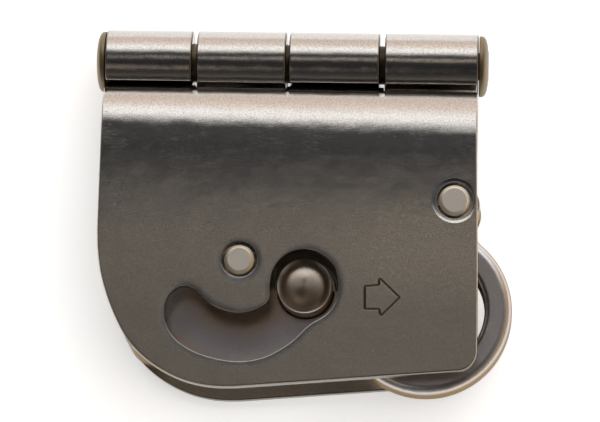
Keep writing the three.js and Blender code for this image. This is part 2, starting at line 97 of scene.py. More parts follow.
OUTLINE = [
    (-48.85, -44.0), (-48.55, -49.0), (-47.7, -54.5), (-46.1, -60.0), (-43.75, -65.6), (-40.7, -70.9),
    (-36.7, -75.1), (-31.7, -78.5), (-26.0, -80.9), (-20.5, -81.95), (-15.5, -82.05), (-11.0, -81.72),
]
CORNER, CORNER_R = (42.95, -77.0), 4.9
WINDOW = [
    (-6.6, -60.55), (-6.85, -56.9), (-5.9, -52.85), (-3.0, -49.6), (1.25, -48.35), (5.4, -49.45),
    (8.5, -52.5), (9.65, -57.0), (9.0, -61.1), (6.75, -64.2), (3.6, -66.2), (1.75, -67.75),
    (-0.2, -69.85), (-3.2, -72.25), (-8.2, -74.85), (-13.8, -75.8), (-19.6, -75.1), (-24.9, -73.4),
    (-29.2, -70.5), (-31.5, -66.8), (-31.95, -63.1), (-30.75, -59.6), (-27.6, -57.7), (-24.9, -58.6),
    (-22.9, -60.5), (-20.4, -62.3), (-17.2, -63.6), (-13.8, -64.0), (-10.2, -63.15), (-7.3, -61.45),
]
ARROW = [(15.90, -57.25), (19.31, -56.91), (19.27, -55.09), (24.31, -59.88), (19.89, -64.41), (19.45, -62.74), (16.02, -62.80)]

pin_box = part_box("cam_pivot_pin")
OX = (pin_box[0].x + pin_box[1].x) / 2 * 1000 - P1[0]
OY = (pin_box[0].y + pin_box[1].y) / 2 * 1000 - P1[1]


def rad(d):
    return d * math.pi / 180


def to_row(p):
    """drawing frame in millimetres to the row frame in metres"""
    return (np.asarray(p, float) + np.array([OX, OY, 0.0])) / 1000.0


# ---------------------------------------------------------------- plane curves
def arc(c, r, a0, a1, n):
    t = np.radians(np.linspace(a0, a1, n + 1))
    return [(c[0] + r * math.cos(x), c[1] + r * math.sin(x)) for x in t]


def circle(c, r, n):
    return arc(c, r, 0, 360, n)[:-1]


def at(c, r, a):
    return (c[0] + r * math.cos(rad(a)), c[1] + r * math.sin(rad(a)))


def catmull(points, per, closed=False):
    """centripetal Catmull-Rom through the points"""
    p = [np.array(x, float) for x in points]
    if closed:
        p = [p[-1]] + p + [p[0], p[1]]
    else:
        p = [2 * p[0] - p[1]] + p + [2 * p[-1] - p[-2]]
    out = []
    for i in range(1, len(p) - 2):
        a, b, c, d = p[i - 1], p[i], p[i + 1], p[i + 2]
        t1 = max(np.linalg.norm(b - a) ** 0.5, 1e-6)
        t2 = t1 + max(np.linalg.norm(c - b) ** 0.5, 1e-6)
        t3 = t2 + max(np.linalg.norm(d - c) ** 0.5, 1e-6)
        for k in range(per):
            t = t1 + (t2 - t1) * k / per
            a1 = (t1 - t) / t1 * a + t / t1 * b
            a2 = (t2 - t) / (t2 - t1) * b + (t - t1) / (t2 - t1) * c
            a3 = (t3 - t) / (t3 - t2) * c + (t - t2) / (t3 - t2) * d
            b1 = (t2 - t) / t2 * a1 + t / t2 * a2
            b2 = (t3 - t) / (t3 - t1) * a2 + (t - t1) / (t3 - t1) * a3
            q = (t2 - t) / (t2 - t1) * b1 + (t - t1) / (t2 - t1) * b2
            out.append(tuple(q))
    if not closed:
        out.append(tuple(p[-2]))
    return out


def filleted(corners, step):
    """closed polygon from (x, y, corner radius) with round corners and no long edges"""
    n = len(corners)
    out = []
    for i in range(n):
        p = np.array(corners[i][:2], float)
        r = corners[i][2] if len(corners[i]) > 2 else 0.0
        a = np.array(corners[i - 1][:2], float)
        b = np.array(corners[(i + 1) % n][:2], float)
        u, v = a - p, b - p
        lu, lv = np.linalg.norm(u), np.linalg.norm(v)
        u, v = u / lu, v / lv
        cosang = float(np.clip(u @ v, -1, 1))
        half = math.acos(cosang) / 2
        if r <= 0 or half > rad(88):
            out.append(tuple(p))
            continue
        t = min(r / math.tan(half), 0.49 * min(lu, lv))
        r = t * math.tan(half)
        centre = p + (u + v) / np.linalg.norm(u + v) * (r / math.sin(half))
        s, e = p + u * t, p + v * t
        a0 = math.atan2(*(s - centre)[::-1])
        a1 = math.atan2(*(e - centre)[::-1])
        d = (a1 - a0 + math.pi) % (2 * math.pi) - math.pi
        k = max(3, int(abs(d) / rad(11)))
        for j in range(k + 1):
            x = a0 + d * j / k
            out.append((centre[0] + r * math.cos(x), centre[1] + r * math.sin(x)))
    return subdivided(out, step)


def subdivided(pts, step):
    out = []
    n = len(pts)
    for i in range(n):
        a, b = np.array(pts[i], float), np.array(pts[(i + 1) % n], float)
        d = np.linalg.norm(b - a)
        if d < 1e-6:
            continue
        k = max(1, int(math.ceil(d / step)))
        for j in range(k):
            out.append(tuple(a + (b - a) * j / k))
    return out


def evenly(pts, step):
    """closed polyline at even spacing"""
    p = np.array(pts + [pts[0]], float)
    d = np.r_[0, np.cumsum(np.linalg.norm(np.diff(p, axis=0), axis=1))]
    n = max(12, int(round(d[-1] / step)))
    s = np.linspace(0, d[-1], n, endpoint=False)
    return list(zip(np.interp(s, d, p[:, 0]), np.interp(s, d, p[:, 1])))


def area(loop):
    x, y = loop[:, 0], loop[:, 1]
    return 0.5 * float(np.sum(x * np.roll(y, -1) - np.roll(x, -1) * y))


def smooth01(x):
    x = np.clip(x, 0, 1)
    return x * x * (3 - 2 * x)


def inside(points, loops):
    """even-odd test of points against several loops"""
    hit = np.zeros(len(points), bool)
    px, py = points[:, 0], points[:, 1]
    for loop in loops:
        x0, y0 = loop[:, 0], loop[:, 1]
        x1, y1 = np.roll(x0, -1), np.roll(y0, -1)
        for a, b, c, d in zip(x0, y0, x1, y1):
            if b == d:
                continue
            m = (py >= min(b, d)) & (py < max(b, d))
            if m.any():
                xi = a + (py[m] - b) * (c - a) / (d - b)
                hit[np.flatnonzero(m)[px[m] < xi]] ^= True
    return hit


# ---------------------------------------------------------------- solids with rounded rims
class Loop:
    """A closed edge of a flat piece. pts run with the material on their left. top and bot are the rounding
    radii at the upper and lower face, as a number or a function of (x, y). shape is round or chamfer.
    flat gives extra rows in the upper face, dish a depth there as a function of the distance from the edge."""

    def __init__(self, pts, top=0.6, bot=0.4, hole=False, shape="round", flat=(), dish=None, halo=0.0):
        p = np.array(pts, float)
        if (area(p) < 0) != hole:
            p = p[::-1]
        self.p, self.hole, self.shape, self.flat, self.dish, self.halo = p, hole, shape, list(flat), dish, halo
        t = np.roll(p, -1, 0) - p
        t /= np.maximum(np.linalg.norm(t, axis=1, keepdims=True), 1e-9)
        tb = np.roll(t, 1, 0)
        m = t + tb
        m /= np.maximum(np.linalg.norm(m, axis=1, keepdims=True), 1e-9)
        self.n = np.stack([-m[:, 1], m[:, 0]], 1)
        cos_half = np.clip((m * t).sum(1), 0.75, 1)
        self.miter = 1 / cos_half
        self.top = np.array([top(*q) for q in p]) if callable(top) else np.full(len(p), float(top))
        self.bot = np.array([bot(*q) for q in p]) if callable(bot) else np.full(len(p), float(bot))
        self.room = np.full(len(p), 50.0)


def limit_room(loops):
    """how far each edge point may be offset before it meets another edge"""
    allp = np.concatenate([l.p for l in loops])
    owner = np.concatenate([np.full(len(l.p), i) for i, l in enumerate(loops)])
    for i, l in enumerate(loops):
        seg = np.linalg.norm(np.roll(l.p, -1, 0) - l.p, axis=1)
        s = np.r_[0, np.cumsum(seg)[:-1]]
        total = seg.sum()
        same = owner == i
        for k, q in enumerate(l.p):
            v = allp - q
            d = np.linalg.norm(v, axis=1)
            ahead = (v @ l.n[k]) > 0.25 * d
            ds = np.abs(s - s[k])
            ds = np.minimum(ds, total - ds)
            far = np.ones(len(allp), bool)
            far[same] = ds > 3.0 * d[same].clip(0.35) + 0.2
            ok = ahead & far & (d > 1e-6)
            if ok.any():
                l.room[k] = d[ok].min()
        r = l.room
        for _ in range(3):
            r = np.minimum(r, 0.25 * np.roll(r, 1) + 0.5 * r + 0.25 * np.roll(r, -1))
        l.room = r
        l.top = np.minimum(l.top, 0.40 * r)
        l.bot = np.minimum(l.bot, 0.40 * r)


def rows_of(l, height, nround=6):
    """rows of points from the upper face round the rim to the lower face: xy, depth, normal, flags"""
    rows = []
    for d in sorted(l.flat, reverse=True):
        off = np.minimum(l.top + d, 0.46 * l.room)
        share = (off - l.top) / max(d, 1e-6)
        depth = np.zeros(len(l.p))
        slope = np.zeros(len(l.p))
        if l.dish:
            depth = l.dish(d) * share
            slope = (l.dish(d + 0.02) - l.dish(d - 0.02)) / 0.04 * share
        nrm = np.concatenate([l.n * slope[:, None], np.ones((len(l.p), 1))], 1)
        rows.append((l.p + l.n * (off * l.miter)[:, None], depth, nrm, d, 0.0))
    base = l.dish(0.0) if l.dish else 0.0
    sl = (l.dish(0.02) - l.dish(0.0)) / 0.02 if l.dish else 0.0
    tilt0 = math.atan(sl)
    # the last value of each row, edge, rises over the outer part of the upper rounding, stays 1 down the wall and fades
    # out on the lower rounding; the materials use it for painted shade
    for k in range(nround + 1):
        th = math.pi / 2 * k / nround
        if l.shape == "chamfer":
            f, g = 1 - k / nround, k / nround
            nn = (math.sin(math.pi / 4), math.cos(math.pi / 4))
            if k == 0:
                nn = (0, 1)
        else:
            f, g = 1 - math.sin(th), 1 - math.cos(th)
            nn = (math.sin(th), math.cos(th))
        if k == 0 and tilt0:
            nn = (-math.sin(tilt0), math.cos(tilt0))
        nrm = np.concatenate([-l.n * nn[0], np.full((len(l.p), 1), nn[1])], 1)
        rows.append((l.p + l.n * (l.top * f * l.miter)[:, None], base + l.top * g, nrm, 0.0, min(1.0, max(0.0, (k / nround - 0.5) / 0.3))))
    for k in range(nround + 1):
        th = math.pi / 2 * k / nround
        f, g = 1 - math.cos(th), 1 - math.sin(th)
        nrm = np.concatenate([-l.n * math.cos(th), np.full((len(l.p), 1), -math.sin(th))], 1)
        rows.append((l.p + l.n * (l.bot * f * l.miter)[:, None], height - l.bot * g, nrm, 0.0, min(1.0, 2.5 * (nround - k) / nround)))
    return rows


def flat_map(z_top):
    """upper face at z_top, depth downwards"""

    def f(x, y, t):
        o = np.stack([x, y, z_top - t], 1)
        ex = np.tile([1.0, 0, 0], (len(x), 1))
        ey = np.tile([0, 1.0, 0], (len(x), 1))
        ez = np.tile([0, 0, 1.0], (len(x), 1))
        return o, ex, ey, ez

    return f


class Builder:
    """Collects a mesh with exact normals and point attributes, in the drawing frame."""

    def __init__(self):
        self.v, self.nrm, self.edge, self.halo, self.f = [], [], [], [], []
        self.count = 0

    def add(self, pos, nrm, edge=0.0, halo=0.0):
        start = self.count
        n = len(pos)
        self.v.append(np.asarray(pos, float))
        self.nrm.append(np.asarray(nrm, float))
        self.edge.append(np.broadcast_to(np.asarray(edge, float), (n,)).copy())
        self.halo.append(np.broadcast_to(np.asarray(halo, float), (n,)).copy())
        self.count += n
        return start

    def object(self, name, material, centre=None):
        v = np.concatenate(self.v)
        co = to_row(v)
        origin = np.zeros(3)
        if centre is not None:
            origin = to_row(np.array(centre, float))
            co = co - origin
        me = bpy.data.meshes.new(name)
        me.from_pydata([tuple(x) for x in co], [], [tuple(int(i) for i in q) for q in self.f])
        me.update()
        n = np.concatenate(self.nrm)
        n /= np.maximum(np.linalg.norm(n, axis=1, keepdims=True), 1e-12)
        for key, data in (("edge", self.edge), ("halo", self.halo)):
            a = me.attributes.new(key, "FLOAT", "POINT")
            a.data.foreach_set("value", np.concatenate(data).astype(np.float32))
        me.polygons.foreach_set("use_smooth", [True] * len(me.polygons))
        me.normals_split_custom_set_from_vertices([tuple(x) for x in n])
        me.materials.append(material)
        o = bpy.data.objects.new(name, me)
        o.location = origin
        bpy.context.scene.collection.objects.link(o)
        return o


def triangulate(loops, extra):
    """constrained triangles between the loops, as indices into the joined points"""
    pts = [tuple(q) for l in loops for q in l] + [tuple(q) for q in extra]
    edges, at0 = [], 0
    for l in loops:
        n = len(l)
        edges += [(at0 + i, at0 + (i + 1) % n) for i in range(n)]
        at0 += n
    ov, oe, of_, src, _, _ = delaunay_2d_cdt([Vector(q) for q in pts], edges, [], 0, 1e-7, True)
    ov = np.array([tuple(q) for q in ov], float)
    idx = np.array([s[0] if s else -1 for s in src])
    tri = np.array([f for f in of_ if len(f) == 3], int)
    c = ov[tri].mean(1)
    tri = tri[inside(c, [np.array(l, float) for l in loops])]
    a, b, c = ov[tri[:, 0]], ov[tri[:, 1]], ov[tri[:, 2]]
    ccw = (b[:, 0] - a[:, 0]) * (c[:, 1] - a[:, 1]) - (b[:, 1] - a[:, 1]) * (c[:, 0] - a[:, 0]) > 0
    tri[~ccw] = tri[~ccw][:, ::-1]
    return ov, idx, tri


def plate(name, loops, height, mapping, material, flip=False, points=None, grooves=(), nround=6, warp=None, halo_at=None):
    """a solid between two faces `height` apart, bounded by rounded loops"""
    b = Builder()
    limit_room(loops)
    sign = -1.0 if flip else 1.0

    def emit(xy, t, nl, edge, halo):
        if warp is not None:
            xy = warp(xy, t)
        o, ex, ey, ez = mapping(xy[:, 0], xy[:, 1], t)
        n = ex * nl[:, :1] + ey * nl[:, 1:2] + ez * nl[:, 2:3]
        return b.add(o, n, edge, halo)

    tops, bots = [], []
    for l in loops:
        rows = rows_of(l, height, nround)
        starts = []
        n = len(l.p)
        for xy, t, nl, d, edge in rows:
            t = np.broadcast_to(np.asarray(t, float), (n,)).copy()
            # halo marks the face next to a hole's edge, fading within about a millimetre, for the painted dark
            # reflection there
            h = l.halo * float(np.exp(-((d / 0.9) ** 2))) if d < 5 else 0.0
            starts.append(emit(xy, t, nl, edge, h))
        for s0, s1 in zip(starts[:-1], starts[1:]):
            for i in range(n):
                j = (i + 1) % n
                q = (s0 + i, s1 + i, s1 + j, s0 + j)
                b.f.append(q[::-1] if flip else q)
        tops.append((rows[0][0], starts[0], rows[0][1]))
        bots.append((rows[-1][0], starts[-1]))

    groove_loops = []
    for g in grooves:
        rows = []
        for off, dep, slope in ((0.34, 0.0, 0.0), (0.26, 0.045, -0.8), (0.13, 0.17, -0.9), (0.0, 0.21, 0.0), (-0.13, 0.17, 0.9), (-0.26, 0.045, 0.8), (-0.34, 0.0, 0.0)):
            xy = g.p - g.n * off
            nl = np.concatenate([g.n * -slope, np.ones((len(g.p), 1))], 1)
            rows.append((xy, dep, nl))
        starts = []
        n = len(g.p)
        for k, (xy, dep, nl) in enumerate(rows):
            # the groove's sunk rows carry edge 1, so its walls are painted dark as shade
            starts.append(emit(xy, np.full(n, dep), nl, 1.0 if dep > 0.01 else 0.0, 0.0))
        for s0, s1 in zip(starts[:-1], starts[1:]):
            for i in range(n):
                j = (i + 1) % n
                q = (s0 + i, s0 + j, s1 + j, s1 + i)
                b.f.append(q[::-1] if flip else q)
        groove_loops += [(rows[0][0], starts[0]), (rows[-1][0], starts[-1])]

    grid = np.zeros((0, 2)) if points is None else np.array(points, float)
    for side in (0, 1):
        rings = [(x[0], x[1]) for x in (tops if side == 0 else bots)]
        if side == 0:
            rings += groove_loops
        loops2 = [r[0] for r in rings]
        keep = grid
        if len(grid):
            keep = grid[inside(grid, loops2)]
            near = np.concatenate(loops2)
            good = np.ones(len(keep), bool)
            for i in range(0, len(keep), 400):
                d = np.linalg.norm(keep[i:i + 400, None] - near[None], axis=2).min(1)
                good[i:i + 400] = d > 0.28
            keep = keep[good]
        start = emit(keep, np.full(len(keep), height if side else 0.0), np.tile([0, 0, -1.0 if side else 1.0], (len(keep), 1)),
                     0.0, halo_at(keep) if (halo_at and not side) else 0.0) if len(keep) else b.count
        lookup = np.concatenate([np.arange(r[1], r[1] + len(r[0])) for r in rings] + [np.arange(start, start + len(keep))])
        ov, idx, tri = triangulate(loops2, keep)
        if (idx[tri] < 0).any():
            extra = np.unique(tri[idx[tri] < 0])
            s2 = emit(ov[extra], np.full(len(extra), height if side else 0.0), np.tile([0, 0, -1.0 if side else 1.0], (len(extra), 1)), 0.0, 0.0)
            lut = np.full(len(ov), -1)
            good = idx >= 0
            lut[good] = lookup[idx[good]]
            lut[extra] = np.arange(s2, s2 + len(extra))
        else:
            lut = lookup[idx.clip(0)]
        f = lut[tri]
        if side:
            f = f[:, ::-1]
        if flip:
            f = f[:, ::-1]
        b.f += [tuple(q) for q in f]
    return b.object(name, material)


# ---------------------------------------------------------------- turned pieces
def turned_profile(corners, closed=False):
    """profile points with exact normals from (r, z, fillet); material lies to the left of the direction of travel"""
    n = len(corners)
    rows = []
    rng = range(n) if closed else range(n)
    for i in rng:
        r, z = corners[i][:2]
        f = corners[i][2] if len(corners[i]) > 2 else 0.0
        p = np.array([r, z], float)
        prev = np.array(corners[i - 1][:2], float) if (closed or i > 0) else None
        nxt = np.array(corners[(i + 1) % n][:2], float) if (closed or i < n - 1) else None

        def out_normal(a, c):
            d = (c - a) / np.linalg.norm(c - a)
            return np.array([d[1], -d[0]])

        if prev is None:
            rows.append((p, out_normal(p, nxt)))
            continue
        if nxt is None:
            rows.append((p, out_normal(prev, p)))
            continue
        n0, n1 = out_normal(prev, p), out_normal(p, nxt)
        if f <= 0:
            rows.append((p, n0))
            rows.append((p, n1))
            continue
        u, v = prev - p, nxt - p
        lu, lv = np.linalg.norm(u), np.linalg.norm(v)
        u, v = u / lu, v / lv
        half = math.acos(float(np.clip(u @ v, -1, 1))) / 2
        t = min(f / math.tan(half), 0.49 * min(lu, lv))
        rr = t * math.tan(half)
        centre = p + (u + v) / np.linalg.norm(u + v) * (rr / math.sin(half))
        s = p + u * t
        turn = math.atan2(n0[0] * n1[1] - n0[1] * n1[0], n0 @ n1)
        k = max(4, int(abs(turn) / rad(14)))
        sgn = 1.0 if (s - centre) @ n0 > 0 else -1.0
        for j in range(k + 1):
            x = turn * j / k
            nn = np.array([n0[0] * math.cos(x) - n0[1] * math.sin(x), n0[0] * math.sin(x) + n0[1] * math.cos(x)])
            rows.append((centre + nn * rr * sgn, nn))
    return rows


def turned(name, corners, centre, material, axis="z", seg=96, closed=False, own_origin=False, rows=None):
    """turned piece about Z through centre (x, y), or about the hinge axis"""
    rows = turned_profile(corners, closed) if rows is None else rows
    b = Builder()
    ang = np.linspace(0, 2 * math.pi, seg, endpoint=False)
    starts = []
    for (r, z), (nr, nz) in rows:
        if axis == "z":
            pos = np.stack([centre[0] + r * np.cos(ang), centre[1] + r * np.sin(ang), np.full(seg, z)], 1)
            nrm = np.stack([nr * np.cos(ang), nr * np.sin(ang), np.full(seg, nz)], 1)
        else:
            pos = np.stack([np.full(seg, z), r * np.cos(ang), MID + r * np.sin(ang)], 1)
            nrm = np.stack([np.full(seg, nz), nr * np.cos(ang), nr * np.sin(ang)], 1)
        if r < 1e-6:
            starts.append((b.add(pos[:1], nrm[:1]), True))
        else:
            # the shaft of the hinge pin, seen only in the gaps between the knuckles, carries the halo mark, by which
            # its material paints it near black as shade
            starts.append((b.add(pos, nrm, 0.0, 1.0 if axis == "x" and r < PIN_R + 0.01 and nr > 0.99 else 0.0), False))
    pairs = list(zip(rows[:-1], rows[1:], starts[:-1], starts[1:]))
    if closed:
        pairs.append((rows[-1], rows[0], starts[-1], starts[0]))
    for r0, r1, (s0, tip0), (s1, tip1) in pairs:
        if np.linalg.norm(np.array(r0[0]) - np.array(r1[0])) < 1e-9:
            continue
        for i in range(seg):
            j = (i + 1) % seg
            if tip0 and tip1:
                continue
            if tip0:
                q = (s0, s1 + j, s1 + i)
            elif tip1:
                q = (s0 + i, s0 + j, s1)
            else:
                q = (s0 + i, s0 + j, s1 + j, s1 + i)
            b.f.append(q)
    o = b.object(name, material, centre=(centre[0], centre[1], 0) if own_origin else None)
    weld(o)
    return o


def weld(o):
    """joins the doubled rows of sharp corners for a closed mesh, with the corner kept sharp"""
    me = o.data
    n = np.zeros(len(me.loops) * 3, np.float32)
    me.corner_normals.foreach_get("vector", n)
    keep = [tuple(x) for x in n.reshape(-1, 3)]
    co = np.zeros(len(me.vertices) * 3, np.float32)
    me.vertices.foreach_get("co", co)
    co = co.reshape(-1, 3)
    key = np.round(co * 1e8).astype(np.int64)
    _, first, inv = np.unique(key, axis=0, return_index=True, return_inverse=True)
    inv = inv.ravel()
    if len(first) == len(co):
        return
    faces = [[int(inv[v]) for v in p.vertices] for p in me.polygons]
    att = {}
    for k in ("edge", "halo"):
        a = np.zeros(len(co), np.float32)
        me.attributes[k].data.foreach_get("value", a)
        att[k] = a[first]
    new = bpy.data.meshes.new(me.name)
    new.from_pydata([tuple(x) for x in co[first]], [], faces)
    new.update()
    for k, a in att.items():
        x = new.attributes.new(k, "FLOAT", "POINT")
        x.data.foreach_set("value", a)
    new.polygons.foreach_set("use_smooth", [True] * len(new.polygons))
    new.normals_split_custom_set(keep)
    for m in me.materials:
        new.materials.append(m)
    o.data = new


def wire(name, points, r, material, sides=14, per=4):
    """round wire with domed ends through the points"""
    path = np.array(catmull(points, per), float)
    keep = np.r_[True, np.linalg.norm(np.diff(path, axis=0), axis=1) > 1e-5]
    path = path[keep]
    tan = np.gradient(path, axis=0)
    tan /= np.linalg.norm(tan, axis=1, keepdims=True)
    nrm = np.cross(tan[0], [0, 0, 1.0])
    if np.linalg.norm(nrm) < 1e-3:
        nrm = np.cross(tan[0], [1.0, 0, 0])
    nrm /= np.linalg.norm(nrm)
    b = Builder()
    ang = np.linspace(0, 2 * math.pi, sides, endpoint=False)
    rings = []
    frames = []
    for t in tan:
        nrm = nrm - t * (nrm @ t)
        nrm /= np.linalg.norm(nrm)
        frames.append((nrm.copy(), np.cross(t, nrm)))

    def ring(c, fr, t, rr, push, nr, nt):
        u, v = fr
        d = u * np.cos(ang)[:, None] + v * np.sin(ang)[:, None]
        return b.add(c + t * push + d * rr, d * nr + t * nt)

    cap = [90, 65, 40, 18]
    for k in cap:
        rings.append(ring(path[0], frames[0], tan[0], r * math.cos(rad(k)) if k < 90 else r * 0.02, -r * math.sin(rad(k)) * 0.6 + r * 0.6, math.cos(rad(k)), -math.sin(rad(k))))
    for c, fr, t in list(zip(path, frames, tan))[1:-1]:
        rings.append(ring(c, fr, t, r, 0.0, 1.0, 0.0))
    for k in cap[::-1]:
        rings.append(ring(path[-1], frames[-1], tan[-1], r * math.cos(rad(k)) if k < 90 else r * 0.02, r * math.sin(rad(k)) * 0.6 - r * 0.6, math.cos(rad(k)), math.sin(rad(k))))
    for s0, s1 in zip(rings[:-1], rings[1:]):
        for i in range(sides):
            j = (i + 1) % sides
            b.f.append((s0 + i, s0 + j, s1 + j, s1 + i))
    b.f.append(tuple(rings[0] + i for i in range(sides))[::-1])
    b.f.append(tuple(rings[-1] + i for i in range(sides)))
    return b.object(name, material)


# ---------------------------------------------------------------- materials
class Tree:
    def __init__(self, name):
        self.mat = bpy.data.materials.new(name)
        self.mat.use_nodes = True
        self.t = self.mat.node_tree
        self.t.nodes.clear()
        self.out = self.t.nodes.new("ShaderNodeOutputMaterial")
        self.bsdf = self.t.nodes.new("ShaderNodeBsdfPrincipled")
        self.t.links.new(self.bsdf.outputs[0], self.out.inputs[0])
        tc = self.t.nodes.new("ShaderNodeTexCoord")
        self.p = self.vmath("SCALE", tc.outputs["Object"], scale=1000.0)

    def put(self, socket, value):
        if isinstance(value, bpy.types.NodeSocket):
            self.t.links.new(value, socket)
        elif value is not None:
            socket.default_value = value

    def vmath(self, op, a, b=None, scale=None):
        n = self.t.nodes.new("ShaderNodeVectorMath")
        n.operation = op
        self.put(n.inputs[0], a)
        if b is not None:
            self.put(n.inputs[1], b)
        if scale is not None:
            n.inputs["Scale"].default_value = scale
        return n.outputs["Value"] if op in ("LENGTH", "DISTANCE", "DOT_PRODUCT") else n.outputs["Vector"]

    def math(self, op, a, b=None, c=None, clamp=False):
        n = self.t.nodes.new("ShaderNodeMath")
        n.operation = op
        n.use_clamp = clamp
        self.put(n.inputs[0], a)
        if b is not None:
            self.put(n.inputs[1], b)
        if c is not None:
            self.put(n.inputs[2], c)
        return n.outputs[0]

    def mapped(self, scale, rot=(0, 0, 0), loc=(0, 0, 0)):
        n = self.t.nodes.new("ShaderNodeMapping")
        self.put(n.inputs["Vector"], self.p)
        n.inputs["Scale"].default_value = scale
        n.inputs["Rotation"].default_value = [rad(x) for x in rot]
        n.inputs["Location"].default_value = loc
        return n.outputs[0]

    def noise(self, vec, scale=1.0, detail=2.0, rough=0.5, distort=0.0):
        n = self.t.nodes.new("ShaderNodeTexNoise")
        self.put(n.inputs["Vector"], vec)
        n.inputs["Scale"].default_value = scale
        n.inputs["Detail"].default_value = detail
        n.inputs["Roughness"].default_value = rough
        n.inputs["Distortion"].default_value = distort
        return n.outputs[0]

    def voronoi(self, vec, scale):
        n = self.t.nodes.new("ShaderNodeTexVoronoi")
        self.put(n.inputs["Vector"], vec)
        n.inputs["Scale"].default_value = scale
        return n.outputs["Distance"], n.outputs["Color"]

    def ramp(self, fac, stops, smooth=False):
        n = self.t.nodes.new("ShaderNodeValToRGB")
        self.put(n.inputs[0], fac)
        e = n.color_ramp.elements
        while len(e) < len(stops):
            e.new(0.5)
        for k, (pos, col) in enumerate(stops):
            e[k].position = pos
            e[k].color = (*col, 1) if hasattr(col, "__len__") else (col, col, col, 1)
        n.color_ramp.interpolation = "EASE" if smooth else "LINEAR"
        return n.outputs[0]

    def span(self, v, a, b, c=0.0, d=1.0):
        n = self.t.nodes.new("ShaderNodeMapRange")
        self.put(n.inputs["Value"], v)
        n.inputs["From Min"].default_value = a
        n.inputs["From Max"].default_value = b
        n.inputs["To Min"].default_value = c
        n.inputs["To Max"].default_value = d
        return n.outputs[0]

    def mix(self, fac, a, b, mode="MIX"):
        n = self.t.nodes.new("ShaderNodeMix")
        n.data_type = "RGBA"
        n.blend_type = mode
        n.clamp_factor = True
        self.put(n.inputs[0], fac)
        self.put(n.inputs[6], (*a, 1) if isinstance(a, tuple) else a)
        self.put(n.inputs[7], (*b, 1) if isinstance(b, tuple) else b)
        return n.outputs[2]

    def attr(self, name):
        n = self.t.nodes.new("ShaderNodeAttribute")
        n.attribute_type = "GEOMETRY"
        n.attribute_name = name
        return n.outputs["Fac"]

    def sep(self, v):
        n = self.t.nodes.new("ShaderNodeSeparateXYZ")
        self.put(n.inputs[0], v)
        return n.outputs

    def bump(self, height, distance, strength=1.0, normal=None):
        n = self.t.nodes.new("ShaderNodeBump")
        self.put(n.inputs["Height"], height)
        n.inputs["Distance"].default_value = distance
        n.inputs["Strength"].default_value = strength
        if normal is not None:
            self.put(n.inputs["Normal"], normal)
        return n.outputs[0]

    def sum(self, *terms):
        """sum of (socket, weight)"""
        total = None
        for s, w in terms:
            total = self.math("MULTIPLY_ADD", s, w, total if total is not None else 0.0)
        return total

    def scratches(self, scale, angle, width, seed, density):
        """thin long lines where a stretched noise crosses its middle value"""
        v = self.mapped((scale * 0.07, scale, scale), rot=(0, 0, angle), loc=(seed, seed * 1.7, seed * 0.6))
        n = self.noise(v, 1.0, 1.0, 0.4)
        line = self.span(self.math("ABSOLUTE", self.math("SUBTRACT", n, 0.5)), 0.0, width, 1.0, 0.0)
        where = self.noise(self.mapped((0.16, 0.16, 0.16), loc=(seed * 3, 0, seed)), 1.0, 1.0)
        return self.math("MULTIPLY", line, self.span(where, density, density + 0.06))

    def finish(self, color, rough, normal=None, metallic=1.0):
        self.put(self.bsdf.inputs["Base Color"], color)
        self.put(self.bsdf.inputs["Roughness"], rough)
        self.bsdf.inputs["Metallic"].default_value = metallic
        if normal is not None:
            self.put(self.bsdf.inputs["Normal"], normal)
        return self.mat


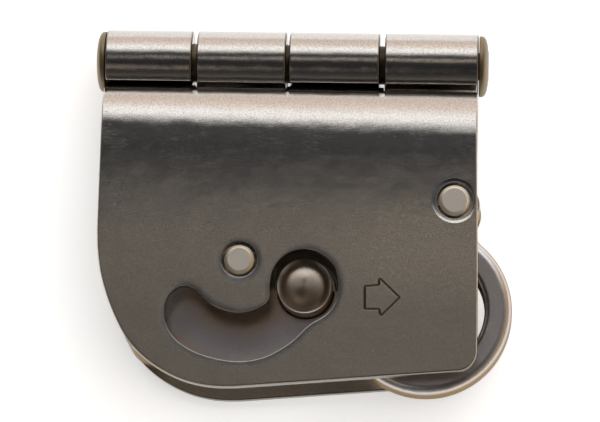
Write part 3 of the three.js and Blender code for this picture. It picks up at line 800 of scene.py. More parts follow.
def plate_steel():
    m = Tree("plate_steel")
    grain = m.noise(m.mapped((0.42, 7.5, 7.5)), 1.0, 4.0, 0.65)
    cross = m.noise(m.mapped((6.5, 0.45, 0.45), loc=(3, 5, 1)), 1.0, 3.0, 0.6)
    speck = m.noise(m.mapped((2.6, 2.6, 2.6)), 1.0, 4.0, 0.6)
    wave = m.noise(m.mapped((0.10, 0.13, 0.13), loc=(7, 1, 3)), 1.0, 2.0, 0.5)
    blot = m.noise(m.mapped((0.045, 0.05, 0.05), loc=(2.3, 4.1, 0)), 1.0, 2.0, 0.5)
    s1 = m.scratches(2.2, 8, 0.010, 1.3, 0.52)
    s2 = m.scratches(2.6, -34, 0.009, 4.1, 0.56)
    s3 = m.scratches(1.8, 71, 0.009, 8.7, 0.57)
    scr = m.math("MAXIMUM", m.math("MAXIMUM", s1, s2), s3)
    dist, cell = m.voronoi(m.mapped((0.8, 0.8, 0.8)), 1.0)
    pick = m.span(m.sep(cell)[0], 0.90, 0.93)
    pit = m.math("MULTIPLY", m.span(dist, 0.05, 0.14, 1.0, 0.0), pick)
    halo = m.attr("halo")
    edge = m.attr("edge")
    # the brushing is finer next to the bend and coarser towards the free edge, and the base colour is painted lighter
    # and warmer towards the free edge as painted sheen
    y_row = m.sep(m.p)[1]
    low = m.span(m.math("MULTIPLY_ADD", blot, 9.0, y_row), OY - 24.0 + 4.5, OY - 45.0 + 4.5)
    base = m.mix(low, (0.60, 0.580, 0.575), (0.66, 0.605, 0.525))
    # painted dark reflection: a darker band under the bend, deeper towards the right; painted sheen: a lighter field
    # beside the window
    x_row = m.sep(m.p)[0]
    line = m.math("MULTIPLY_ADD", m.math("MINIMUM", x_row, 0.0), 0.21, m.math("MULTIPLY_ADD", blot, 5.0, y_row))
    painted_dark_band = m.math("MULTIPLY", m.span(line, OY - 37.5, OY - 30.5), m.span(y_row, OY - 23.0, OY - 18.5, 1.0, 0.0))
    base = m.mix(m.math("MULTIPLY", painted_dark_band, 0.75), base, (0.40, 0.38, 0.37))
    painted_sheen_field = m.math("MULTIPLY", m.span(x_row, 4.0, 22.0), m.math("MULTIPLY", m.span(y_row, OY - 62.0, OY - 50.0), m.span(y_row, OY - 40.0, OY - 33.0, 1.0, 0.0)))
    base = m.mix(m.math("MULTIPLY", painted_sheen_field, 0.8), base, (0.86, 0.77, 0.64))
    # painted dark reflection: the face towards the free edge, outside the lighter field, is painted darker
    foot = m.math("MULTIPLY", m.span(y_row, OY - 52.0, OY - 64.0), m.math("SUBTRACT", 1.0, painted_sheen_field))
    base = m.mix(m.math("MULTIPLY", foot, 0.5), base, (0.47, 0.43, 0.38))
    base = m.mix(m.span(speck, 0.40, 0.64, 0.0, 0.62), base, (0.36, 0.335, 0.30))
    base = m.mix(m.math("MULTIPLY", grain, 0.35), base, (0.80, 0.77, 0.72))
    # painted dark reflection: the face round the window and the holes is painted a darker blue-grey
    base = m.mix(m.math("MULTIPLY", halo, 0.55), base, (0.40, 0.43, 0.49))
    # painted shade: the outer part of the rounded rims, the side walls, the walls of the holes and the arrow's groove
    # are painted dark brown
    base = m.mix(m.math("MULTIPLY", edge, 0.88), base, (0.10, 0.075, 0.05))
    base = m.mix(m.math("MULTIPLY", pit, 0.75), base, (0.10, 0.08, 0.06))
    rough = m.sum((grain, 0.05), (speck, 0.05), (scr, 0.04), (halo, -0.08), (edge, -0.04), (low, 0.15))
    rough = m.math("ADD", rough, 0.085, clamp=True)
    n = m.bump(wave, 0.00016)
    fine = m.sum((grain, 0.8), (cross, 0.4), (speck, 1.6), (scr, -0.3), (pit, -2.0))
    n = m.bump(fine, 0.0000085, normal=n)
    return m.finish(base, rough, n)


def pin_steel(name="pin_steel", tint=(1.0, 0.94, 0.85), angle=40.0):
    m = Tree(name)
    grain = m.noise(m.mapped((0.5, 9.0, 9.0), rot=(0, 0, angle)), 1.0, 3.0, 0.6)
    speck = m.noise(m.mapped((3.0, 3.0, 3.0)), 1.0, 3.0, 0.6)
    s1 = m.scratches(2.6, angle + 4, 0.012, 2.1, 0.50)
    base = m.mix(m.span(speck, 0.3, 0.7, 0.0, 0.35), tint, tuple(0.82 * c for c in tint))
    base = m.mix(m.math("MULTIPLY", grain, 0.3), base, tuple(min(1.0, 1.12 * c) for c in tint))
    # painted shade: the hinge pin's shaft, marked by halo, is painted near black
    base = m.mix(m.attr("halo"), base, (0.035, 0.028, 0.022))
    rough = m.math("ADD", m.sum((grain, 0.10), (speck, 0.08), (s1, 0.1)), 0.39, clamp=True)
    n = m.bump(m.sum((grain, 1.0), (speck, 0.8), (s1, -0.8)), 0.0000090)
    return m.finish(base, rough, n)


def forged_steel():
    m = Tree("forged_steel")
    mott = m.noise(m.mapped((0.5, 0.5, 0.5)), 1.0, 4.0, 0.6)
    fine = m.noise(m.mapped((3.2, 3.2, 3.2)), 1.0, 4.0, 0.65)
    tint = m.noise(m.mapped((0.09, 0.09, 0.12), loc=(4, 2, 9)), 1.0, 2.0, 0.5)
    dist, cell = m.voronoi(m.mapped((1.3, 1.3, 1.3)), 1.0)
    pit = m.math("MULTIPLY", m.span(dist, 0.06, 0.2, 1.0, 0.0), m.span(m.sep(cell)[1], 0.80, 0.86))
    s1 = m.scratches(2.0, 25, 0.010, 3.3, 0.52)
    base = m.mix(m.span(tint, 0.38, 0.62), (0.76, 0.78, 0.86), (0.78, 0.73, 0.72))
    base = m.mix(m.span(fine, 0.35, 0.8, 0.0, 0.45), base, (0.46, 0.44, 0.45))
    # painted shade: the rounded rims and side walls are painted a darker brown
    base = m.mix(m.math("MULTIPLY", m.attr("edge"), 0.70), base, (0.34, 0.27, 0.17))
    base = m.mix(m.math("MULTIPLY", pit, 0.5), base, (0.2, 0.19, 0.19))
    rough = m.math("ADD", m.sum((mott, 0.10), (fine, 0.10), (s1, 0.08)), 0.20, clamp=True)
    n = m.bump(mott, 0.00005)
    n = m.bump(m.sum((fine, 1.0), (pit, -1.2), (s1, -0.5)), 0.000016, normal=n)
    m.bsdf.inputs["Specular Tint"].default_value = (0.50, 0.37, 0.22, 1)
    return m.finish(base, rough, n)


def latch_steel():
    m = Tree("latch_steel")
    grain = m.noise(m.mapped((3.5, 3.5, 3.5)), 1.0, 4.0, 0.65)
    cloud = m.noise(m.mapped((0.16, 0.16, 0.16), loc=(1, 7, 0)), 1.0, 3.0, 0.55, 0.3)
    centre = tuple(to_row((P2[0], P2[1], 17.0)) * 1000)
    r = m.vmath("DISTANCE", m.p, centre)
    rr = m.math("ADD", r, m.span(cloud, 0.0, 1.0, -3.2, 3.2))
    tint = m.ramp(m.span(rr, 10.0, 26.0), [
        (0.0, (0.62, 0.50, 0.37)), (0.20, (0.66, 0.50, 0.36)), (0.36, (0.72, 0.61, 0.56)), (0.52, (0.72, 0.69, 0.72)),
        (0.70, (0.76, 0.74, 0.80)), (0.84, (0.82, 0.68, 0.58)), (1.0, (0.80, 0.50, 0.34)),
    ])
    base = m.mix(m.span(grain, 0.3, 0.75, 0.0, 0.45), tint, (0.40, 0.36, 0.36))
    xyz = m.sep(m.p)
    low = m.span(xyz[1], centre[1] - 24.0, centre[1] - 17.5, 1.0, 0.0)
    mid = m.span(m.math("ABSOLUTE", m.math("SUBTRACT", xyz[0], centre[0] + 4.0)), 5.0, 10.5, 1.0, 0.0)
    patch = m.math("MULTIPLY", low, mid)
    pits = m.noise(m.mapped((1.5, 1.9, 1.5), loc=(5, 5, 5)), 1.0, 5.0, 0.75)
    # painted highlight: a pitted patch low on the latch plate is painted light; the pits are also bumped and rougher
    pitted_glint = m.math("MULTIPLY", patch, m.span(pits, 0.42, 0.62))
    base = m.mix(m.math("MULTIPLY", pitted_glint, 0.85), base, (0.90, 0.85, 0.77))
    rough = m.math("ADD", m.sum((grain, 0.12), (cloud, 0.10), (pitted_glint, 0.12)), 0.20, clamp=True)
    n = m.bump(cloud, 0.00006)
    n = m.bump(m.sum((grain, 1.0), (m.math("MULTIPLY", patch, pits), 5.0)), 0.000016, normal=n)
    return m.finish(base, rough, n)


def knob_steel():
    m = Tree("knob_steel")
    xyz = m.sep(m.p)
    r = m.math("SQRT", m.math("ADD", m.math("POWER", xyz[0], 2.0), m.math("POWER", xyz[1], 2.0)))
    rings = m.t.nodes.new("ShaderNodeCombineXYZ")
    m.put(rings.inputs[0], m.math("MULTIPLY", r, 9.0))
    m.put(rings.inputs[1], m.math("MULTIPLY", xyz[2], 2.0))
    line = m.noise(rings.outputs[0], 1.0, 3.0, 0.7)
    speck = m.noise(m.mapped((2.2, 2.2, 2.2)), 1.0, 4.0, 0.6)
    base = m.mix(m.span(speck, 0.3, 0.7, 0.0, 0.5), (0.52, 0.45, 0.38), (0.36, 0.31, 0.28))
    base = m.mix(m.math("MULTIPLY", line, 0.3), base, (0.66, 0.58, 0.50))
    rough = m.math("ADD", m.sum((line, 0.08), (speck, 0.10)), 0.27, clamp=True)
    n = m.bump(m.sum((line, 1.0), (speck, 1.2)), 0.000008)
    m.finish(base, rough, n)
    m.bsdf.inputs["Anisotropic"].default_value = 0.8
    m.bsdf.inputs["Anisotropic Rotation"].default_value = 0.0
    tg = m.t.nodes.new("ShaderNodeTangent")
    tg.direction_type = "RADIAL"
    tg.axis = "Z"
    m.put(m.bsdf.inputs["Tangent"], tg.outputs[0])
    return m.mat


def washer_steel():
    m = Tree("washer_steel")
    fine = m.noise(m.mapped((2.4, 2.4, 2.4)), 1.0, 4.0, 0.6)
    lines = m.noise(m.mapped((7.0, 7.0, 0.8)), 1.0, 2.0, 0.6)
    base = m.mix(m.span(fine, 0.3, 0.75, 0.0, 0.5), (0.60, 0.59, 0.57), (0.42, 0.40, 0.38))
    rough = m.math("ADD", m.sum((fine, 0.12), (lines, 0.08)), 0.26, clamp=True)
    return m.finish(base, rough, m.bump(m.sum((fine, 1.0), (lines, 0.6)), 0.000005))


def spring_steel():
    m = Tree("spring_steel")
    fine = m.noise(m.mapped((3.0, 3.0, 3.0)), 1.0, 3.0, 0.6)
    base = m.mix(m.span(fine, 0.3, 0.75, 0.0, 0.4), (0.66, 0.65, 0.64), (0.46, 0.43, 0.40))
    rough = m.math("ADD", m.math("MULTIPLY", fine, 0.14), 0.18, clamp=True)
    return m.finish(base, rough, m.bump(fine, 0.000004))


PLATE = plate_steel()
PIN = pin_steel()
# painted shade: the hinge pin and its collar get a dark copy of the pin steel
HEAD = pin_steel("head_steel", (0.27, 0.22, 0.15), 90.0)
FORGED = forged_steel()
LATCH = latch_steel()
KNOB = knob_steel()
WASHER = washer_steel()
SPRING = spring_steel()


def fit(o, body, slot, *nodes):
    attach(o, body)
    if nodes:
        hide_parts(*nodes)
    return o


# ---------------------------------------------------------------- bent sheet of a plate
NS = np.array([math.sin(rad(SLOPE)), math.cos(rad(SLOPE))])
DS = np.array([math.cos(rad(SLOPE)), -math.sin(rad(SLOPE))])
BEND_Y = (-BORE_R - BEND_R - NS[1] * (DEPTH - BEND_R - MID)) / NS[0]
BEND_C = np.array([BEND_Y, DEPTH - BEND_R])
PB = BEND_C + BEND_R * NS
VB = BEND_R * rad(SLOPE)
TANGENT = 180.0 - SLOPE
PT = -BORE_R * NS + np.array([0, MID])
VT = VB + float((PT - PB) @ DS)
V_END = VT + BORE_R * rad(360 + ROLL_END - TANGENT)


def cut_lines():
    """where the cut top edge lies on the outer face, at the clearance circle of the other plate's barrel,
    and on the inner face, at the clearance line of its slope"""
    k = BARREL_R + CUT_GAP
    gap = math.hypot(BEND_C[0], BEND_C[1] - MID)
    a = math.atan2(MID - BEND_C[1], -BEND_C[0]) + math.acos((BEND_R ** 2 + gap ** 2 - k ** 2) / (2 * BEND_R * gap))
    zp = CUT_GAP / (2 * NS[1])
    foot = np.array([(-BARREL_R - NS[1] * zp) / NS[0], MID + zp])
    return BEND_R * (math.pi / 2 - a), VB + float((foot - (PB - SHEET * NS)) @ DS)


V_CO, V_CI = cut_lines()
CROWN_V, CROWN_SLOPE, CROWN_BACK = -27.0, 0.052, 14.5


def crown(v):
    """sag of the pressed face towards the bend, and its slope"""
    d, s = np.zeros(len(v)), np.zeros(len(v))
    a = (v > CROWN_V) & (v <= 0)
    c = CROWN_SLOPE / -CROWN_V
    d[a], s[a] = c * (v[a] - CROWN_V) ** 2 / 2, c * (v[a] - CROWN_V)
    top = c * CROWN_V ** 2 / 2
    b = (v > 0) & (v < CROWN_BACK)
    u = v[b] / CROWN_BACK
    d[b] = (1 - 3 * u ** 2 + 2 * u ** 3) * top + (u - 2 * u ** 2 + u ** 3) * CROWN_BACK * CROWN_SLOPE
    s[b] = ((-6 * u + 6 * u ** 2) * top) / CROWN_BACK + (1 - 4 * u + 3 * u ** 2) * CROWN_SLOPE
    return d, s


def sheet_map(mirror):
    def f(x, v, t):
        n = len(x)
        P, T, N = np.zeros((n, 2)), np.zeros((n, 2)), np.zeros((n, 2))
        # the front plate's bend opens a little towards the right end
        radius = np.full(n, BEND_R) if mirror else BEND_R + 0.55 + 0.9 * np.clip((x + 2.5) / 33.5, -1.3, 1.3)
        start = (-BORE_R - radius - NS[1] * (DEPTH - radius - MID)) / NS[0]
        cz = DEPTH - radius
        vb = radius * rad(SLOPE)
        vt = vb + (cz + radius * NS[1] - PT[1]) / NS[0]
        u = np.where(v <= -2, v - (start - BEND_Y), np.where(
            v >= VT, v - VT + vt, -2 - (start - BEND_Y) + (v + 2) / (VT + 2) * (vt + 2 + (start - BEND_Y))))
        a = u <= 0
        P[a] = np.stack([start[a] + u[a], np.full(a.sum(), DEPTH)], 1)
        T[a], N[a] = (1, 0), (0, 1)
        b = (u > 0) & (u <= vb)
        al = u[b] / radius[b]
        N[b] = np.stack([np.sin(al), np.cos(al)], 1)
        T[b] = np.stack([np.cos(al), -np.sin(al)], 1)
        P[b] = np.stack([start[b], cz[b]], 1) + radius[b][:, None] * N[b]
        c = (u > vb) & (u <= vt)
        N[c], T[c] = NS, DS
        P[c] = np.stack([start[c], cz[c]], 1) + radius[c][:, None] * NS + DS * (u[c] - vb[c])[:, None]
        d = u > vt
        ph = rad(TANGENT) + (u[d] - vt[d]) / BORE_R
        N[d] = np.stack([np.sin(ph), -np.cos(ph)], 1)
        T[d] = np.stack([-np.cos(ph), -np.sin(ph)], 1)
        P[d] = np.stack([-BORE_R * np.sin(ph), MID + BORE_R * np.cos(ph)], 1)
        if not mirror:
            sag, tilt = crown(v)
            P = P - N * sag[:, None]
            N, T = N + T * tilt[:, None], T - N * tilt[:, None]
            N /= np.linalg.norm(N, axis=1, keepdims=True)
            T /= np.linalg.norm(T, axis=1, keepdims=True)
        q = P - N * t[:, None]
        z = q[:, 1] if not mirror else DEPTH - q[:, 1]
        s = -1.0 if mirror else 1.0
        o = np.stack([x, q[:, 0], z], 1)
        ex = np.tile([1.0, 0, 0], (n, 1))
        ey = np.stack([np.zeros(n), T[:, 0], s * T[:, 1]], 1)
        ez = np.stack([np.zeros(n), N[:, 0], s * N[:, 1]], 1)
        return o, ex, ey, ez

    return f


def tab_warp(tabs):
    """slants the cut edge between the tabs, so that it faces the other plate's barrel squarely"""

    def f(xy, t):
        x, v = xy[:, 0], xy[:, 1]
        w = np.ones(len(x))
        for a, b in tabs:
            w = np.minimum(w, np.clip(np.maximum(a - x, x - b) / 1.0, 0, 1))
        k = smooth01((v - (V_CO - 3.2)) / 3.0) * w
        out = xy.copy()
        out[:, 1] = v + k * (V_CI - V_CO) * np.asarray(t) / SHEET
        return out

    return f


def flat_outline():
    """from the left edge at the bend, round the free edge, to the right edge at the bend"""
    out = [(EDGE_L, -30.0)] + catmull(OUTLINE, 7)
    last = OUTLINE[-1]
    d = math.atan2(CORNER[1] - last[1], CORNER[0] - last[0])
    half = (math.pi / 2 - d) / 2
    t = CORNER_R * math.tan(half)
    cx = CORNER[0] - CORNER_R
    a = (CORNER[0] - t * math.cos(d), CORNER[1] - t * math.sin(d))
    cy = CORNER[1] + t
    a0 = math.degrees(math.atan2(a[1] - cy, a[0] - cx))
    out += arc((cx, cy), CORNER_R, a0, 0, 12)
    out += catmull([(CORNER[0], cy + 0.5), (42.93, -66.0), (42.82, -52.0), (42.55, -38.0), (42.3, -28.0), (EDGE_R, -20.0)], 6)[1:]
    return [(x, y - BEND_Y) for x, y in out]


def plate_loop(tabs, root=0.0):
    """closed edge of a plate: tabs are the x ranges of its own knuckles, root the height to which each of
    them is left wider, up to the next knuckle"""
    pts = [(x, v, 0.0) for x, v in flat_outline()]
    xs = sorted(tabs, reverse=True)
    others = [k for k in KNUCKLES if k not in tabs]
    x_right = EDGE_R

    def cut(x):
        return V_CO - (0.0 if not root else 0.9 if x < 0 else 1.5)

    for a, b in xs:
        if b < x_right - 1e-6:
            pts.append((x_right, cut(x_right), 0.6)) if x_right == EDGE_R else None
            if root:
                gap = min(k[0] for k in others if k[0] > b) - 0.12
                pts += [(gap, cut(gap), 0.0), (gap, V_CO + root, 0.2), (b, V_CO + root, 0.2)]
            else:
                pts.append((b, V_CO, 0.35))
        pts.append((b, V_END, 0.6))
        pts.append((a, V_END, 0.6))
        if a > EDGE_L + 1e-6:
            if root:
                gap = max(k[1] for k in others if k[1] < a) + 0.12
                pts += [(a, V_CO + root, 0.2), (gap, V_CO + root, 0.2), (gap, cut(gap), 0.0)]
            else:
                pts.append((a, V_CO, 0.35))
            x_right = a
        else:
            x_right = None
    if x_right is not None:
        pts.append((EDGE_L, V_CO, 0.6))
    return filleted(pts, 0.55)


def sheet_points():
    """inner points that let the sheet bend and carry the attributes"""
    pts = []
    for v in np.arange(-62.5, -0.8, 1.3):
        k = int(round(v / 1.3)) % 2
        pts += [(x + 0.65 * k, v) for x in np.arange(EDGE_L, EDGE_R + 1.5, 1.3)]
    for j, v in enumerate(np.linspace(0.0, VB, 22)):
        pts += [(x + 0.6 * (j % 2), v) for x in np.arange(EDGE_L, EDGE_R + 1, 1.2)]
    for j, v in enumerate(np.linspace(VB + 0.7, VT - 0.5, 16)):
        pts += [(x + 0.6 * (j % 2), v) for x in np.arange(EDGE_L, EDGE_R + 1, 1.2)]
    for j, v in enumerate(np.linspace(VT, V_END, 78)):
        pts += [(x + 0.5 * (j % 2), v) for x in np.arange(EDGE_L, EDGE_R + 1, 1.0)]
    return pts


def rim_top(x, v):
    """rounding of the outer face's rim: broad on the flat, small on the curl's inside"""
    k = float(smooth01((v - 2.0) / 8.0))
    return 0.55 * (1 - k) + 0.32 * k


def rim_bot(x, v):
    k = float(smooth01((v - V_CI) / 4.0))
    return 0.40 * (1 - k) + 0.50 * k


def window_loop():
    """the comma window, with the tongue's point rounded"""
    pts = catmull(WINDOW, 8)
    p = np.array(pts)
    tip = np.array(WINDOW[0])
    d = np.linalg.norm(p - tip, axis=1)
    s0 = next(i for i in range(len(p)) if d[i] > 1.35)
    s1 = next(i for i in range(len(p) - 1, 0, -1) if d[i] > 1.35)
    a, b = p[s1], p[s0]
    bez = [tuple((1 - t) ** 2 * a + 2 * t * (1 - t) * tip + t * t * b) for t in np.linspace(0, 1, 9)[1:-1]]
    return evenly([tuple(q) for q in p[s0:s1 + 1]] + bez, 0.42)


def to_v(pts):
    return [(x, y - BEND_Y) for x, y in pts]


win = to_v(window_loop())
h1 = to_v(circle((P1[0], P1[1] + P1_HOLE_DY), P1_HOLE_R, 84))
h2 = to_v(circle((P2[0], P2[1] + P2_HOLE_DY), P2_HOLE_R, 76))
arrow = filleted([(x, y - BEND_Y, 0.25) for x, y in ARROW], 0.5)

def pillow(drop, reach):
    """how far the pressed-in face lies below the flat at a distance from the edge"""
    return lambda d: drop * float((1 - np.clip(d / reach, 0, 1)) ** 2)


outer_front = Loop(plate_loop([KNUCKLES[0], KNUCKLES[2]], 1.7), rim_top, rim_bot, flat=(0.5,))
window = Loop(win, 0.26, 0.35, hole=True, flat=(0.12, 0.25, 0.42, 0.6, 0.8, 1.0, 1.25, 1.6, 2.1), halo=1.0, dish=pillow(0.075, 1.6))
hole1 = Loop(h1, 0.24, 0.3, hole=True, flat=(0.15, 0.3, 0.45, 0.6, 0.75, 0.9, 1.05, 1.3, 1.7), halo=0.8,
             dish=lambda d: 0.13 * float(1 - smooth01((d - 0.05) / 0.85)) + 0.05 * float(1 - smooth01((d - 0.65) / 0.35)))
hole2 = Loop(h2, 0.20, 0.3, hole=True, flat=(0.12, 0.25, 0.42, 0.6, 0.8, 1.0, 1.25, 1.6, 2.1), halo=1.0, dish=pillow(0.075, 1.5))


def groove_loop(pts):
    return Loop(pts, 0.1, 0.1)


front = plate("front_plate_sheet", [outer_front, window, hole1, hole2], SHEET, sheet_map(False), PLATE,
              points=sheet_points(), grooves=[groove_loop(arrow)], warp=tab_warp([KNUCKLES[0], KNUCKLES[2]]))
fit(front, "cover", "plate_steel", "front_plate")

rivets = [(P1, P1_R), (P2, P2_R), (STOP_C, STOP_R), (ANCHOR1_C, ANCHOR_R), (ANCHOR2_C, ANCHOR_R), (SCREW_C, SCREW_R)]
rear_loops = [Loop(plate_loop([KNUCKLES[1], KNUCKLES[3]]), rim_top, rim_bot, flat=(0.5,))]
for c, r in rivets:
    rear_loops.append(Loop(to_v(circle(c, r + 0.15, 56 if r > 3 else 32)), 1.0, 0.15, hole=True, shape="chamfer"))
rear = plate("rear_plate_sheet", rear_loops, SHEET, sheet_map(True), PLATE, flip=True,
             points=sheet_points(), warp=tab_warp([KNUCKLES[1], KNUCKLES[3]]))
fit(rear, "root", "plate_steel", "rear_plate")

# ---------------------------------------------------------------- hinge pin and collar
head_l = EDGE_L - HEAD_GAP
collar0 = EDGE_R + HEAD_GAP


def dome_rows(x0, way, inner):
    """button head seen from the side, rows (r, x) with normals, from the shaft side to the middle or the rivet"""
    out = [((inner, x0), (0.0, -way)), ((HEAD_R - 0.28, x0), (0.0, -way))]
    # small radius at the back, then a superellipse to the flat middle
    for a in np.linspace(-90, 0, 6)[1:]:
        out.append(((HEAD_R - 0.28 + 0.28 * math.cos(rad(a)), x0 + way * (0.28 + 0.28 * math.sin(rad(a)))), (math.cos(rad(a)), way * math.sin(rad(a)))))
    ex, he = 3.0, HEAD_T - 0.28
    for a in np.linspace(0, 90, 30)[1:]:
        c, s = math.cos(rad(a)), math.sin(rad(a))
        r = HEAD_R * max(c, 0.0) ** (2 / ex)
        h = he * s ** (2 / ex)
        nr = (max(c, 0.0) ** (2 - 2 / ex)) / HEAD_R
        nx = (s ** (2 - 2 / ex)) / he
        l = math.hypot(nr, nx)
        out.append(((r, x0 + way * (0.28 + h)), (nr / l, way * nx / l)))
    return out


left = dome_rows(head_l, -1, PIN_R)[::-1]
rows = left + [((PIN_R, head_l), (1.0, 0.0)), ((PIN_R, collar0 - 0.3), (1.0, 0.0)),
               ((PIN_R, collar0 - 0.3), (0.0, 1.0)), ((3.3, collar0 - 0.3), (0.0, 1.0)), ((3.3, collar0 - 0.3), (1.0, 0.0)),
               ((3.3, collar0 + HEAD_T - 0.35), (1.0, 0.0)), ((3.05, collar0 + HEAD_T - 0.1), (0.7, 0.7)),
               ((2.8, collar0 + HEAD_T - 0.02), (0.0, 1.0)), ((0.0, collar0 + HEAD_T - 0.02), (0.0, 1.0))]
pin = turned("hinge_pin_turned", None, (0, 0), HEAD, axis="x", seg=120, rows=rows)
fit(pin, "root", "pin_steel", "hinge_pin")
rr = dome_rows(collar0, 1, 3.45)
cut = [q for q in rr if q[0][0] > 3.6]
rows = [((3.45, collar0 + HEAD_T), (-1.0, 0.0)), ((3.45, collar0), (-1.0, 0.0))] + cut + \
       [((3.6, collar0 + HEAD_T - 0.005), (0.0, 1.0)), ((3.45, collar0 + HEAD_T), (0.0, 1.0))]
collar = turned("hinge_pin_collar_turned", None, (0, 0), HEAD, axis="x", seg=120, rows=rows)
fit(collar, "root", "pin_steel", "hinge_pin_collar")

# ---------------------------------------------------------------- pivot pins and small riveted pins
RIVET = [(0, 0.05), (None, 0.05), (None, 1.0)]


def rivet_end(r):
    return [(0, 0.05), (r + 0.95, 0.05, 0.12), (r, 1.0)]


o = turned("cam_pivot_pin_turned", rivet_end(P1_R) + [
    (P1_R, SHEET + 0.3), (6.0, SHEET + 0.3, 0.12), (6.0, 4.3, 0.12), (P1_R, 4.3), (P1_R, 19.25, 0.1), (3.2, 19.25), (3.2, 20.25),
    (P1_R, 20.25, 0.1), (P1_R, PIN_TOP - PIN_CHAMFER, 0.2), (P1_R - PIN_CHAMFER, PIN_TOP, 0.2), (0, PIN_TOP)], P1, PIN)
fit(o, "root", "pin_steel", "cam_pivot_pin")
o = turned("latch_pivot_pin_turned", rivet_end(P2_R) + [
    (P2_R, SHEET + 0.3), (5.9, SHEET + 0.3, 0.12), (5.9, 5.0, 0.12), (P2_R, 5.0), (P2_R, 12.75, 0.1), (3.05, 12.75), (3.05, 13.75),
    (P2_R, 13.75, 0.1), (P2_R, PIN_TOP - PIN_CHAMFER, 0.2), (P2_R - PIN_CHAMFER, PIN_TOP, 0.2), (0, PIN_TOP)], P2, PIN)
fit(o, "root", "pin_steel", "latch_pivot_pin")
o = turned("cam_stop_pin_turned", rivet_end(STOP_R) + [(STOP_R, 16.0, 0.4), (0, 16.0)], STOP_C, PIN, seg=56)
fit(o, "root", "pin_steel", "cam_stop_pin")
o = turned("cam_spring_anchor_turned", rivet_end(ANCHOR_R) + [(ANCHOR_R, 6.6, 0.3), (0, 6.6)], ANCHOR1_C, PIN, seg=48)
fit(o, "root", "pin_steel", "cam_spring_anchor")
o = turned("latch_spring_anchor_turned", rivet_end(ANCHOR_R) + [(ANCHOR_R, 8.0, 0.3), (0, 8.0)], ANCHOR2_C, PIN, seg=48)
fit(o, "root", "pin_steel", "latch_spring_anchor")
o = turned("spacer_screw_turned", rivet_end(SCREW_R) + [(SCREW_R, 11.7, 0.3), (0, 11.7)], SCREW_C, PIN, seg=48)
fit(o, "root", "pin_steel", "spacer_screw")


# ---------------------------------------------------------------- washers, bush, cup, clips
def washer(name, c, r0, r1, z0, z1, node, e=0.25, slot="washer_steel"):
    o = turned(name, [(r0, z0, e * 0.6), (r1, z0, e), (r1, z1, e), (r0, z1, e * 0.6)], c, WASHER, seg=80, closed=True)
    return fit(o, "root", slot, node)


washer("cam_lower_washer", P1, P1_R + 0.2, 5.1, 4.6, 6.95, "cam_lower_spacer")
washer("cam_upper_washer", P1, P1_R + 0.2, 5.8, 17.55, 18.95, "cam_upper_spacer")
washer("latch_bush_turned", P2, P2_R + 0.2, 5.4, 5.3, 9.2, "latch_bush")
o = turned("spring_cup_turned", [
    (2.1, CUP_Z[0], 0.1), (CUP_R, CUP_Z[0], 0.5), (CUP_R, CUP_Z[1], 0.2), (7.3, CUP_Z[1], 0.2), (7.3, CUP_Z[0] + 0.8, 0.3), (2.1, CUP_Z[0] + 0.8, 0.1)],
    KNOB_C, WASHER, closed=True)
fit(o, "latch", "washer_steel", "spring_cup")


def ring_clip(name, c, r_in, r_out, z0, z1, opening, node):
    outer = arc(c, r_out, opening + 38, opening + 322, 60)
    inner = arc(c, r_in, opening + 322, opening + 38, 52)
    pts = [(x, y, 0.0) for x, y in outer + inner]
    k = len(outer)
    for i in (0, k - 1, k, len(pts) - 1):
        pts[i] = (*pts[i][:2], 0.6)
    o = plate(name, [Loop(subdivided([q[:2] for q in pts], 0.5), 0.12, 0.12)], z1 - z0, flat_map(z1), SPRING, nround=3)
    return fit(o, "root", "spring_steel", node)


ring_clip("cam_ring_clip", P1, 3.35, 5.9, 19.4, 20.1, 225, "cam_retaining_clip")
ring_clip("latch_ring_clip", P2, 3.2, 5.7, 12.85, 13.6, 90, "latch_retaining_clip")

# ---------------------------------------------------------------- cam lever
def lobe_radius(a):
    if a < 40:
        return HUB_R
    if a < 90:
        return HUB_R + 0.5 + (LOBE_R - HUB_R - 0.5) * (a - 40) / 50
    if a < 126:
        return LOBE_R + 1.0 * (a - 90) / 36
    if a < 142:
        return LOBE_R + 1.0 - 2.4 * (a - 126) / 16
    return LOBE_R - 1.4 - 0.6 * (a - 142) / 58


def tooth(a):
    return -0.45 * abs(((a - 44) / 8.4) % 1 - 0.5) * 2 if 44 < a < 128 else 0.0


lever_pts = [at(RING_C, RING_R, a) for a in np.arange(102, 410, 1.6)]
lever_pts += catmull([at(RING_C, RING_R, 411.0), (42.75, -44.2), (42.05, -43.0), (41.8, -41.8), (41.95, -40.4), at(P1, HUB_R, -28)], 4)[1:-1]
lever_pts += [at(P1, HUB_R, a) for a in np.arange(-28, 36, 4)]
for a in np.arange(38, 202, 1.05):
    base_r = lobe_radius(a) if a > 44 else HUB_R + 0.5 * smooth01((a - 36) / 8)
    lever_pts.append(at(P1, base_r + tooth(a), a))
lever_pts += catmull([at(P1, 9.2, 202), (27.6, -40.3), (26.6, -41.0), at(RING_C, RING_R, 101)], 3)[1:-1]


def lever_rim(x, y):
    d = math.hypot(x - RING_C[0], y - RING_C[1])
    k = float(smooth01((d - RING_R - 0.2) / 2.5))
    return 2.4 * (1 - k) + 0.45 * k


lever_outer = Loop(subdivided(lever_pts, 0.8), lever_rim, lever_rim)
lever_eye = Loop(circle(RING_C, EYE_R, 120), 1.5, 1.5, hole=True)
lever_bore = Loop(circle(P1, P1_R + 0.15, 64), 0.25, 0.25, hole=True)
lever_leg = Loop(circle(LEG_C, 1.1, 28), 0.2, 0.2, hole=True)
lever = plate("cam_lever_forged", [lever_outer, lever_eye, lever_bore, lever_leg], LEVER_Z[1] - LEVER_Z[0], flat_map(LEVER_Z[1]),
              FORGED, nround=9)
fit(lever, "lever", "forged_steel", "cam_lever")

